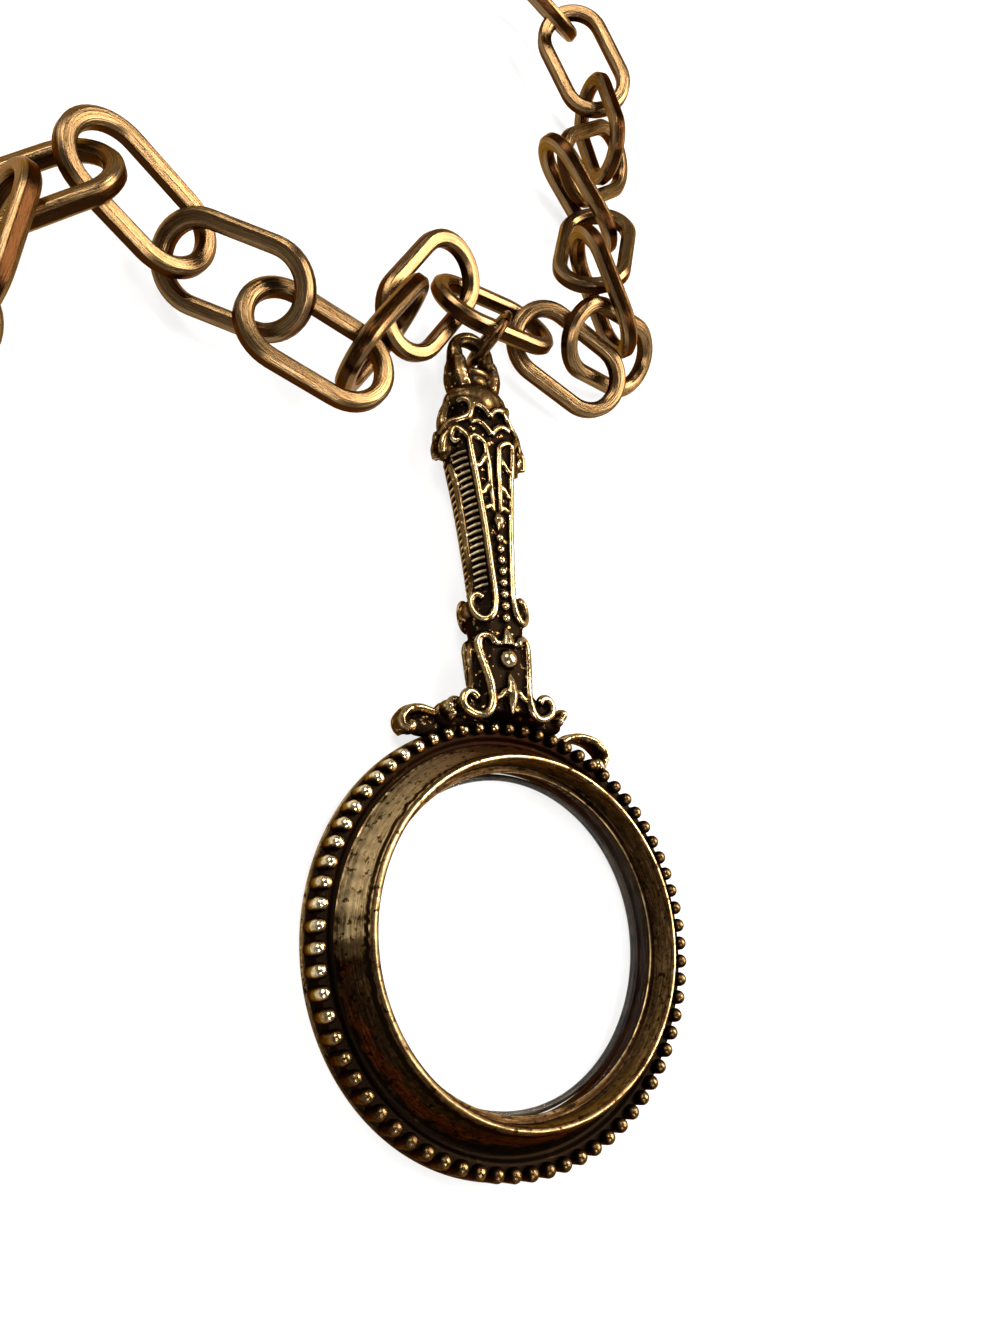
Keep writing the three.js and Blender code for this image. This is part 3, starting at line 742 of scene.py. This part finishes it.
for i in range(RIB_COUNT):
    y = RIB_FIRST + (RIB_LAST - RIB_FIRST) * i / (RIB_COUNT - 1)
    ribs.append(rod([along_line(line, y) for line in RIB_LINES], RIB_RADII))


def four_quarters(name, pieces):
    """The pieces of the front left quarter, joined and mirrored to the right and to the back."""
    whole = joined(name, pieces)
    scene.cursor.location = on_handle((0, 0, 0))
    bpy.ops.object.origin_set(type="ORIGIN_CURSOR")
    mirror = whole.modifiers.new("quarters", "MIRROR")
    mirror.use_axis = (True, False, True)
    mirror.use_mirror_merge = False
    apply_modifiers(whole)
    bpy.ops.object.transform_apply()
    outward_normals(whole)
    return whole


ornament = four_quarters("handle_ornament", quarter)
ladder = four_quarters("handle_ladder", ribs)
pick(ladder)
bpy.ops.object.shade_smooth()
# The ribs' flanks that face each other are painted darker, a painted shade in the gaps between ribs.
shaded_flank = step_between(np.abs(normals_of_points(ladder)[:, 1]), 0.45, 0.9)
write_attribute(ladder, "raised_and_lit", 0.95 - 0.8 * shaded_flank)
ladder.data.materials.clear()
ladder.data.materials.append(antique_gold("antique_gold_ribs", 0.3, 0.4, rubbed_and_lit=PALE_COLOUR, relief=0.5))
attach(ladder, "pendant")
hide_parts("pendant_frame")

half_width = (BAIL_WIDTH - BAIL_WIRE) / 2
bail_low = BAIL_BASE + BAIL_WIRE / 2 + half_width
bail_high = BAIL_BASE + BAIL_LENGTH - BAIL_WIRE / 2 - half_width
bail_path = [(half_width, bail_low - BAIL_SINK, 0)]
for i in range(BAIL_STEPS + 1):
    angle = math.pi * i / BAIL_STEPS
    bail_path.append((half_width * math.cos(angle), bail_high + half_width * math.sin(angle), 0))
bail_path.append((-half_width, bail_low - BAIL_SINK, 0))
crest = [
    rod(LEFT_CREST, CREST_RADII, CREST_TALL), rod(RIGHT_CREST, CREST_RADII, CREST_TALL),
    lump((-10.4, 20.1, -0.9), (0.8, 0.8, 1.2)), lump((12.1, 17.2, -0.9), (0.8, 0.8, 1.2)),
    rod(bail_path, BAIL_RADII), lump((0, 61.7, 0), (2.4, 0.95, 1.8)),
]
for side in (-1, 1):
    crest.append(rod([(side * x, y, 0) for x, y in BAIL_LEG], BAIL_LEG_RADII, BAIL_LEG_TALL))
core_points = [vertex.co.copy() for vertex in core.data.vertices]
core_faces = [tuple(polygon.vertices) for polygon in core.data.polygons]
core_skin = BVHTree.FromPolygons(core_points, core_faces)
handle = joined("handle", [core, ornament] + crest)
melt = handle.modifiers.new("melt", "REMESH")
melt.mode = "VOXEL"
melt.voxel_size = HANDLE_GRAIN
soften = handle.modifiers.new("soften", "SMOOTH")
soften.factor = SOFTENING
soften.iterations = SOFTENING_ROUNDS
apply_modifiers(handle)
for vertex in handle.data.vertices:
    vertex.co.z = max(vertex.co.z, 0)
bpy.ops.object.shade_smooth()
outward_normals(handle)


def height_over(piece, skin):
    """Height of every point over the plain skin below it, in millimetres."""
    heights = np.empty(len(piece.data.vertices), np.float32)
    for i, vertex in enumerate(piece.data.vertices):
        near, normal, _, distance = skin.find_nearest(vertex.co)
        heights[i] = distance / MM if (vertex.co - near).dot(normal) > 0 else -distance / MM
    return heights


def crest_of_points(piece, rounds):
    """How far every point stands out from its surroundings in millimetres, above 0 on ridges."""
    points = place_of_points(piece) / MM
    pairs = np.empty(len(piece.data.edges) * 2, np.int32)
    piece.data.edges.foreach_get("vertices", pairs)
    one, other = pairs[0::2], pairs[1::2]
    ends, starts = np.concatenate([one, other]), np.concatenate([other, one])
    count = np.bincount(ends, minlength=len(points))[:, None]
    smooth = points.astype(float)
    for _ in range(rounds):
        near = [np.bincount(ends, smooth[starts, axis], len(points)) for axis in range(3)]
        smooth = np.stack(near, 1) / count
    return ((points - smooth) * normals_of_points(piece)).sum(1)


lift = step_between(height_over(handle, core_skin), 0.12, 0.55)
ridge = step_between(crest_of_points(handle, CREST_ROUNDS), -0.02, 0.1)
# Faces turned sideways or down are painted darker: partly lacquer left off the rubbed tops, partly painted shade.
top_lit_share = step_between(np.abs(normals_of_points(handle)[:, 2]), 0.0, 0.65)
tone = -0.03 + 0.8 * lift * (0.34 + 0.66 * ridge) * (0.55 + 0.45 * top_lit_share)
# The beads and rods along the middle are painted brighter still, partly wear and partly a painted highlight.
across, along, above = (np.abs(place_of_points(handle) - np.array(on_handle((0, 0, 0)))) / MM).T
on_axis = (across < AXIS_HALF) & (along < AXIS_END) & (above > AXIS_RISE)
tone += 0.16 * on_axis * lift * ridge
write_attribute(handle, "raised_and_lit", np.clip(tone, -0.05, 0.95))
handle.data.materials.clear()
handle.data.materials.append(antique_gold("antique_gold_cast", 0.3, 0.35, glints=0.62))
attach(handle, "pendant")
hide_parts("pendant_frame")

# The lens is a ground disc of clear glass, domed on both faces. It drops in from behind against the ledge
# in the bore, and so little of it mirrors the room that the table shows through almost unchanged.

FRONT_DOME = 1.5
BACK_DOME = 0.6
LENS_RINGS = 24
LENS_STEPS = 160
LENS_PIP = 0.001
LENS_CREASE = 40
GLASS_COLOUR = (0.97, 0.98, 0.97, 1)
GLASS_ROUGHNESS = 0.02
GLASS_INDEX = 1.5
GLASS_SHARE = 0.02

lens_radius = (lens_high.x - lens_low.x) / 2 / MM
shares = [i / LENS_RINGS for i in range(LENS_RINGS + 1)]
lens_back = [(lens_radius * x + LENS_PIP, lens_low.z / MM + BACK_DOME * x ** 2) for x in shares]
lens_front = [(lens_radius * x + LENS_PIP, lens_high.z / MM - FRONT_DOME * x ** 2) for x in reversed(shares)]
lens = turned_ring("lens_glass", lens_back + lens_front, LENS_STEPS)
smooth_faces(lens, LENS_CREASE)
glass, nodes, links = new_finish("lens_glass")
shader = nodes["Principled BSDF"]
shader.inputs["Base Color"].default_value = GLASS_COLOUR
shader.inputs["Roughness"].default_value = GLASS_ROUGHNESS
shader.inputs["Transmission Weight"].default_value = 1
shader.inputs["IOR"].default_value = GLASS_INDEX
clear = node_at(nodes, "ShaderNodeBsdfTransparent", 0, 2)
mix = node_at(nodes, "ShaderNodeMixShader", 1, 1)
mix.inputs["Fac"].default_value = GLASS_SHARE
links.new(clear.outputs[0], mix.inputs[1])
links.new(shader.outputs[0], mix.inputs[2])
links.new(mix.outputs[0], nodes["Material Output"].inputs["Surface"])
lens.data.materials.append(glass)
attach(lens, "pendant")
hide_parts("lens")

# A split ring of dark spring-steel wire snaps in behind the lens and holds it against the ledge. Its ends
# stay a little apart, so that it can be squeezed and taken out.

SPLIT_WIRE = 0.7
SPLIT_OPENING = 14
SPLIT_STEPS = 120
SPLIT_SIDES = 10
WIRE_CREASE = 50
STEEL_DARK = (0.006, 0.004, 0.003, 1)
STEEL_LIGHT = (0.05, 0.036, 0.022, 1)
STEEL_SHEEN = 0.15
STEEL_GRAIN = 420


def round_outline(size, count):
    angles = [math.tau * i / count for i in range(count)]
    return [Vector((math.cos(angle), math.sin(angle))) * size / 2 for angle in angles]


def open_circle(radius, slit, count):
    path = []
    for i in range(count):
        angle = math.radians(slit / 2 + (360 - slit) * i / (count - 1))
        path.append(Vector((radius * math.cos(angle), radius * math.sin(angle), 0)))
    return path


def bent_wire(name, path, outline, closed=True):
    section = drawn_line(name + "_section", [(p.x * MM, p.y * MM, 0) for p in outline], closed=True)
    section.data.dimensions = "2D"
    line = drawn_line(name, [p * MM for p in path], closed=closed)
    line.data.twist_mode = "Z_UP"
    line.data.bevel_mode = "OBJECT"
    line.data.bevel_object = section
    line.data.use_fill_caps = not closed
    pick(line)
    bpy.ops.object.convert(target="MESH")
    wire = bpy.context.object
    bpy.data.objects.remove(section)
    outward_normals(wire)
    return wire


split_low, split_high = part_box("lens_split_ring")
split_radius = (split_high.x - split_low.x) / 2 / MM - SPLIT_WIRE / 2
split_ring = bent_wire(
    "split_ring_wire", open_circle(split_radius, SPLIT_OPENING, SPLIT_STEPS),
    round_outline(SPLIT_WIRE, SPLIT_SIDES), closed=False)
split_middle = spot(0, 0, (split_low.z + split_high.z) / 2 / MM)
split_ring.data.transform(Matrix.Translation(split_middle) @ Matrix.Rotation(math.pi, 4, "Z"))
smooth_faces(split_ring, WIRE_CREASE)
steel, nodes, links = new_finish("spring_steel")
shader = nodes["Principled BSDF"]
shader.inputs["Specular IOR Level"].default_value = STEEL_SHEEN
where = node_at(nodes, "ShaderNodeTexCoord", -4, 0)
stain = grain(nodes, links, STEEL_GRAIN, 5, -3, 0, where.outputs["Object"])
stops = [(0.35, STEEL_DARK), (0.75, STEEL_LIGHT)]
tone = colour_ramp(nodes, links, stain.outputs["Fac"], -2, 0, stops)
links.new(tone.outputs["Color"], shader.inputs["Base Color"])
gloss = range_node(nodes, links, stain.outputs["Fac"], -2, 2, 0, 1, 0.5, 0.28)
links.new(gloss.outputs["Result"], shader.inputs["Roughness"])
split_ring.data.materials.append(steel)
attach(split_ring, "pendant")
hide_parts("lens_split_ring")

# The chain is of oval links bent from chamfered square wire, closed and plated a warm gold. Drawing leaves
# fine lines along the wire. Its edges are worn and painted brighter as a highlight, its sides painted
# darker as shade. Every link is the same, so one is bent and copied to each place that the frame gives.

LINK_RUN = 15
LINK_SPAN = 8.2
LINK_WIRE = 1.9
WIRE_CHAMFER = 0.46
WIRE_EASE = 0.09
END_STEPS = 22
SIDE_STEPS = 8
LINK_CREASE = 60
LAY_PITCH = 9
EDGE_SLOPE = 0.7
EDGE_REACH = 0.3
PLATE_SIDE_SHADE = (0.032, 0.0125, 0.004, 1)
PLATE_FLAT = (0.182, 0.11, 0.048, 1)
PLATE_WORN = (0.38, 0.252, 0.138, 1)
PLATE_EDGE = (0.68, 0.48, 0.35, 1)
LINES_ACROSS = (7, 7, 1)
LINES_ALONG = (1.2, 1.2, 2.2)
PLATE_GRAIN = 320
CLOUD_SHARE = 0.5
LINE_SHARE = 1.5
EDGE_WEAR_AND_SHEEN = 0.5
LINE_RELIEF = 0.00008


def oval_path(length, width):
    radius = width / 2
    half = (length - width) / 2
    path = []
    for side in (1, -1):
        for i in range(END_STEPS):
            angle = math.pi * (i / (END_STEPS - 1) - 0.5) + (0 if side > 0 else math.pi)
            path.append(Vector((side * half + radius * math.cos(angle), radius * math.sin(angle), 0)))
        for i in range(1, SIDE_STEPS):
            path.append(Vector((side * half * (1 - 2 * i / SIDE_STEPS), side * radius, 0)))
    return path


def wire_outline(size, chamfer, ease):
    """A square of wire with its corners drawn flat, and every edge a little eased."""
    half = size / 2
    corners = []
    for quarter in range(4):
        turn = Matrix.Rotation(math.pi / 2 * quarter, 2)
        corners += [turn @ Vector((half, half - chamfer)), turn @ Vector((half - chamfer, half))]
    outline = []
    for i, corner in enumerate(corners):
        before = (corners[i - 1] - corner).normalized() * ease
        after = (corners[(i + 1) % len(corners)] - corner).normalized() * ease
        outline += [corner + before, corner + (before + after) / 4, corner + after]
    return outline


def edge_share(flat, slope):
    return np.clip(1 - np.abs(flat - slope) / EDGE_REACH, 0, 1)


def lay_of_wire(piece, half):
    """Marks each point's place across and round the wire, how flat it faces and how near an edge it is."""
    points = place_of_points(piece) / MM
    along = np.clip(points[:, 0], -half, half)
    out = points[:, :2] - np.stack([along, np.zeros_like(along)], 1)
    reach = np.linalg.norm(out, axis=1)
    angle = np.arctan2(out[:, 1], points[:, 0])
    write_attribute(piece, "across", np.stack([reach, points[:, 2], np.zeros_like(reach)], 1))
    write_attribute(piece, "round", np.stack([np.cos(angle), np.sin(angle), points[:, 0] / LAY_PITCH], 1))
    flat = np.abs(normals_of_points(piece)[:, 2])
    write_attribute(piece, "flat", flat)
    write_attribute(piece, "corner", edge_share(flat, EDGE_SLOPE))


def lie_of_node(node):
    """The matrix that takes a pattern at the origin to where a CAD ring or link lies."""
    points = np.unique(np.round(place_of_points(frame["nodes"][node]), 7), axis=0).astype(float)
    centre = points.mean(0)
    _, axes = np.linalg.eigh(np.cov((points - centre).T))
    long_way, flat_way = Vector(axes[:, 2]), Vector(axes[:, 0])
    if flat_way.z < 0:
        flat_way = -flat_way
    across_way = flat_way.cross(long_way)
    turn = Matrix((long_way, across_way, flat_way)).transposed()
    return Matrix.Translation(Vector(centre)) @ turn.to_4x4()


def copy_to(pattern, name, lie):
    piece = pattern.copy()
    piece.data = pattern.data.copy()
    piece.name = name
    scene.collection.objects.link(piece)
    piece.data.transform(lie)
    return piece


def lay_copies(pattern, kind):
    """A copy of the pattern on every node of that kind, riding on the body that holds the node."""
    for body, members in frame["record"]["behaviour"]["bodies"].items():
        for node in members:
            if node.startswith(kind):
                piece = copy_to(pattern, node + "_wire", lie_of_node(node))
                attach(piece, body)
                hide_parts(node)
    bpy.data.objects.remove(pattern)


link_pattern = bent_wire(
    "link_pattern", oval_path(LINK_RUN, LINK_SPAN), wire_outline(LINK_WIRE, WIRE_CHAMFER, WIRE_EASE))
lay_of_wire(link_pattern, (LINK_RUN - LINK_SPAN) / 2)
plate, nodes, links = new_finish("rose_gold_plate")
shader = nodes["Principled BSDF"]
shader.inputs["Metallic"].default_value = 1
shader.inputs["Specular Tint"].default_value = PLATE_EDGE
where = node_at(nodes, "ShaderNodeTexCoord", -7, 0)
across = node_at(nodes, "ShaderNodeAttribute", -7, 1, attribute_name="across")
around = node_at(nodes, "ShaderNodeAttribute", -7, 2, attribute_name="round")
flat = node_at(nodes, "ShaderNodeAttribute", -7, 3, attribute_name="flat")
corner = node_at(nodes, "ShaderNodeAttribute", -3, 3, attribute_name="corner")
fine = node_at(nodes, "ShaderNodeVectorMath", -6, 1, operation="MULTIPLY")
links.new(across.outputs["Vector"], fine.inputs[0])
fine.inputs[1].default_value = LINES_ACROSS
drawn = node_at(nodes, "ShaderNodeVectorMath", -5, 1, operation="MULTIPLY_ADD")
links.new(around.outputs["Vector"], drawn.inputs[0])
drawn.inputs[1].default_value = LINES_ALONG
links.new(fine.outputs["Vector"], drawn.inputs[2])
scratch = grain(nodes, links, 1, 6, -4, 1, drawn.outputs["Vector"])
cloud = grain(nodes, links, PLATE_GRAIN, 4, -4, 0, where.outputs["Object"])
uneven = add_share(nodes, links, cloud.outputs["Fac"], CLOUD_SHARE, flat.outputs["Fac"], -3, 0)
lined = add_share(nodes, links, scratch.outputs["Fac"], LINE_SHARE, uneven.outputs[0], -2, 0)
level = add_share(nodes, links, corner.outputs["Fac"], EDGE_WEAR_AND_SHEEN, lined.outputs[0], -2, 3)
spread = range_node(nodes, links, level.outputs[0], -2, 1, 0.375, 2.675, 0, 1)
# Sideways faces take the dark colour as painted shade; edges are brightened as wear and painted highlight.
stops = [(0.42, PLATE_SIDE_SHADE), (0.78, PLATE_FLAT), (1, PLATE_WORN)]
tone = colour_ramp(nodes, links, spread.outputs["Result"], -1, 0, stops)
links.new(tone.outputs["Color"], shader.inputs["Base Color"])
gloss = range_node(nodes, links, scratch.outputs["Fac"], -1, 2, 0, 1, 0.15, 0.36)
links.new(gloss.outputs["Result"], shader.inputs["Roughness"])
roughen(nodes, links, scratch.outputs["Fac"], 0.6, LINE_RELIEF)
link_pattern.data.materials.append(plate)
smooth_faces(link_pattern, LINK_CREASE)
lay_copies(link_pattern, "link_")

# Three round jump rings, plated like the chain, are cut from a coil of drawn wire, so each has a fine slit
# where its ends meet. One holds the pendant, one the clasp, and the clasp hooks into the third.

RING_RADIUS = 3.5
RING_WIRE = 1.0
RING_SLIT = 2.5
RING_STEPS = 72
RING_SIDES = 12

ring_pattern = bent_wire(
    "ring_pattern", open_circle(RING_RADIUS, RING_SLIT, RING_STEPS), round_outline(RING_WIRE, RING_SIDES),
    closed=False)
lay_of_wire(ring_pattern, 0)
ring_pattern.data.materials.append(plate)
smooth_faces(ring_pattern, WIRE_CREASE)
lay_copies(ring_pattern, "jump_ring")

# The lobster clasp's eye, body and hook are one casting, plated like the chain and rounded by tumbling.
# It is drawn lying flat with its eye at the origin, then laid where the clasp's joints are.

PIVOT_PLACE = Vector((4.4, 2.1, 0))
CLASP_THICKNESS = 3.4
EYE_RADIUS = 2.3
EYE_HOLE = 1.1
EYE_THICKNESS = 1.6
EYE_SEAM = 0.01
EYE_STEPS = 48
EYE_SECTION = [(1, 0.6), (0.6, 1), (-0.6, 1), (-1, 0.6), (-1, -0.6), (-0.6, -1), (0.6, -1), (1, -0.6)]
SLOT_MIDDLE = Vector((4.7, 2.5, 0))
SLOT_SIZE = (4.6, 5, 1.9)
BODY_OUTLINE = [
    (1.8, -2.8), (4, -3.5), (8.7, -3.9), (11.7, -3), (12.7, -0.6), (12.3, 1.8), (11.1, 3.2), (10.5, 3.2),
    (10.5, 2), (10.9, 0.6), (10.3, -1), (8.7, -1.8), (6.6, -1.6), (6, 0.2), (6, 3.2), (3.6, 3.9), (1.8, 3.2),
]
BODY_ROUNDING = 0.5
CAST_CREASE = 35
CAST_SLOPE = 0.6

joints = {joint["name"]: joint for joint in frame["joints"]}
eye_place = Vector(joints["clasp_swing"]["pos_m"])
pivot_way = Vector(joints["lever_press"]["pos_m"]) - eye_place
clasp_up = Vector(joints["lever_press"]["axis"]).normalized()
pivot_angle = math.atan2(PIVOT_PLACE.y, PIVOT_PLACE.x)
clasp_along = (Matrix.Rotation(-pivot_angle, 3, clasp_up) @ pivot_way).normalized()
clasp_across = clasp_up.cross(clasp_along)
clasp_turn = Matrix((clasp_along, clasp_across, clasp_up)).transposed()
clasp_lie = Matrix.Translation(eye_place) @ clasp_turn.to_4x4()


def eased(outline, rounds):
    """The outline with its corners cut again and again until they are curves."""
    points = [Vector(point) for point in outline]
    for _ in range(rounds):
        cut = []
        for here, there in zip(points, points[1:] + points[:1]):
            cut += [here * 0.75 + there * 0.25, here * 0.25 + there * 0.75]
        points = cut
    return points


def cast_plate(name, outline, thickness, rounding):
    deselect()
    bpy.ops.mesh.primitive_circle_add(vertices=len(outline), fill_type="NGON", location=(0, 0, 0))
    plate_piece = bpy.context.object
    plate_piece.name = name
    for vertex, point in zip(plate_piece.data.vertices, outline):
        vertex.co = Vector((point.x, point.y, -thickness / 2)) * MM
    bpy.ops.object.mode_set(mode="EDIT")
    bpy.ops.mesh.select_all(action="SELECT")
    bpy.ops.mesh.extrude_region_move(TRANSFORM_OT_translate={"value": (0, 0, thickness * MM)})
    bpy.ops.object.mode_set(mode="OBJECT")
    outward_normals(plate_piece)
    edge = plate_piece.modifiers.new("edge", "BEVEL")
    edge.width = rounding * MM
    edge.segments = 4
    edge.limit_method = "ANGLE"
    edge.angle_limit = math.radians(50)
    apply_modifiers(plate_piece)
    return plate_piece


def cut_away(piece, cutter):
    cut = piece.modifiers.new("cut", "BOOLEAN")
    cut.operation = "DIFFERENCE"
    cut.solver = "EXACT"
    cut.object = cutter
    apply_modifiers(piece)
    bpy.data.objects.remove(cutter)


def finish_clasp(piece, node, body, finish):
    points = place_of_points(piece) / MM
    flat = np.abs(normals_of_points(piece)[:, 2])
    write_attribute(piece, "across", points * 0.5)
    write_attribute(piece, "round", np.zeros_like(points))
    # The clasp's sides, like the chain's, are painted darker as shade.
    write_attribute(piece, "flat", 0.35 + 0.6 * flat)
    write_attribute(piece, "corner", edge_share(flat, CAST_SLOPE))
    piece.data.transform(clasp_lie)
    piece.data.materials.clear()
    piece.data.materials.append(finish)
    smooth_faces(piece, CAST_CREASE)
    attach(piece, body)
    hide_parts(node)


clasp_body = cast_plate("clasp_body_cast", eased(BODY_OUTLINE, 2), CLASP_THICKNESS, BODY_ROUNDING)
bpy.ops.mesh.primitive_cube_add(size=MM, location=SLOT_MIDDLE * MM, scale=SLOT_SIZE)
cut_away(clasp_body, bpy.context.object)
eye_wall = (EYE_RADIUS - EYE_HOLE) / 2
eye_outline = [Vector((x * eye_wall, y * EYE_THICKNESS / 2)) for x, y in EYE_SECTION]
eye_path = open_circle((EYE_RADIUS + EYE_HOLE) / 2, EYE_SEAM, EYE_STEPS)
eye = bent_wire("clasp_eye", eye_path, eye_outline, closed=False)
clasp_body = joined("clasp_body_cast", [clasp_body, eye])
finish_clasp(clasp_body, "clasp_body", "clasp", plate)

# The clasp's lever is a stamped tongue, plated like the body, that turns in the body's slot and shuts the
# hook. Its thumb tab stands proud of the body.

LEVER_OUTLINE = [
    (3.1, 1.2), (4.4, 1.0), (5.4, 1.0), (7.8, 1.5), (10.15, 2.0), (10.15, 3.1), (7.8, 3.15), (5.8, 3.2),
    (4.9, 4.2), (4.2, 4.9), (3.0, 4.7), (2.95, 2.8),
]
LEVER_THICKNESS = 1.2
LEVER_ROUNDING = 0.25

clasp_lever = cast_plate("clasp_lever_tongue", eased(LEVER_OUTLINE, 1), LEVER_THICKNESS, LEVER_ROUNDING)
finish_clasp(clasp_lever, "clasp_lever", "clasp_lever", plate)

# The lever turns on a steel rivet with slightly domed ends, pressed through the body. A leaf of spring steel
# lies in the slot under the lever and pushes it shut.

RIVET_RADIUS = 0.5
RIVET_DOME = 0.2
LEAF_OUTLINE = [(2.8, 0.35), (4.0, 0.42), (5.2, 0.35), (5.2, 0.55), (4.0, 0.62), (2.8, 0.55)]
LEAF_WIDTH = 0.85
LEAF_ROUNDING = 0.04

deselect()
bpy.ops.mesh.primitive_cylinder_add(
    vertices=24, radius=RIVET_RADIUS * MM, depth=CLASP_THICKNESS * MM, location=PIVOT_PLACE * MM)
rivet = bpy.context.object
rivet.name = "clasp_rivet_pin"
bpy.ops.object.transform_apply()
dome = rivet.modifiers.new("dome", "BEVEL")
dome.width = RIVET_DOME * MM
dome.segments = 3
apply_modifiers(rivet)
finish_clasp(rivet, "clasp_rivet", "clasp", steel)
leaf_spring = cast_plate("clasp_spring_leaf", eased(LEAF_OUTLINE, 0), LEAF_WIDTH, LEAF_ROUNDING)
finish_clasp(leaf_spring, "clasp_spring", "clasp", steel)
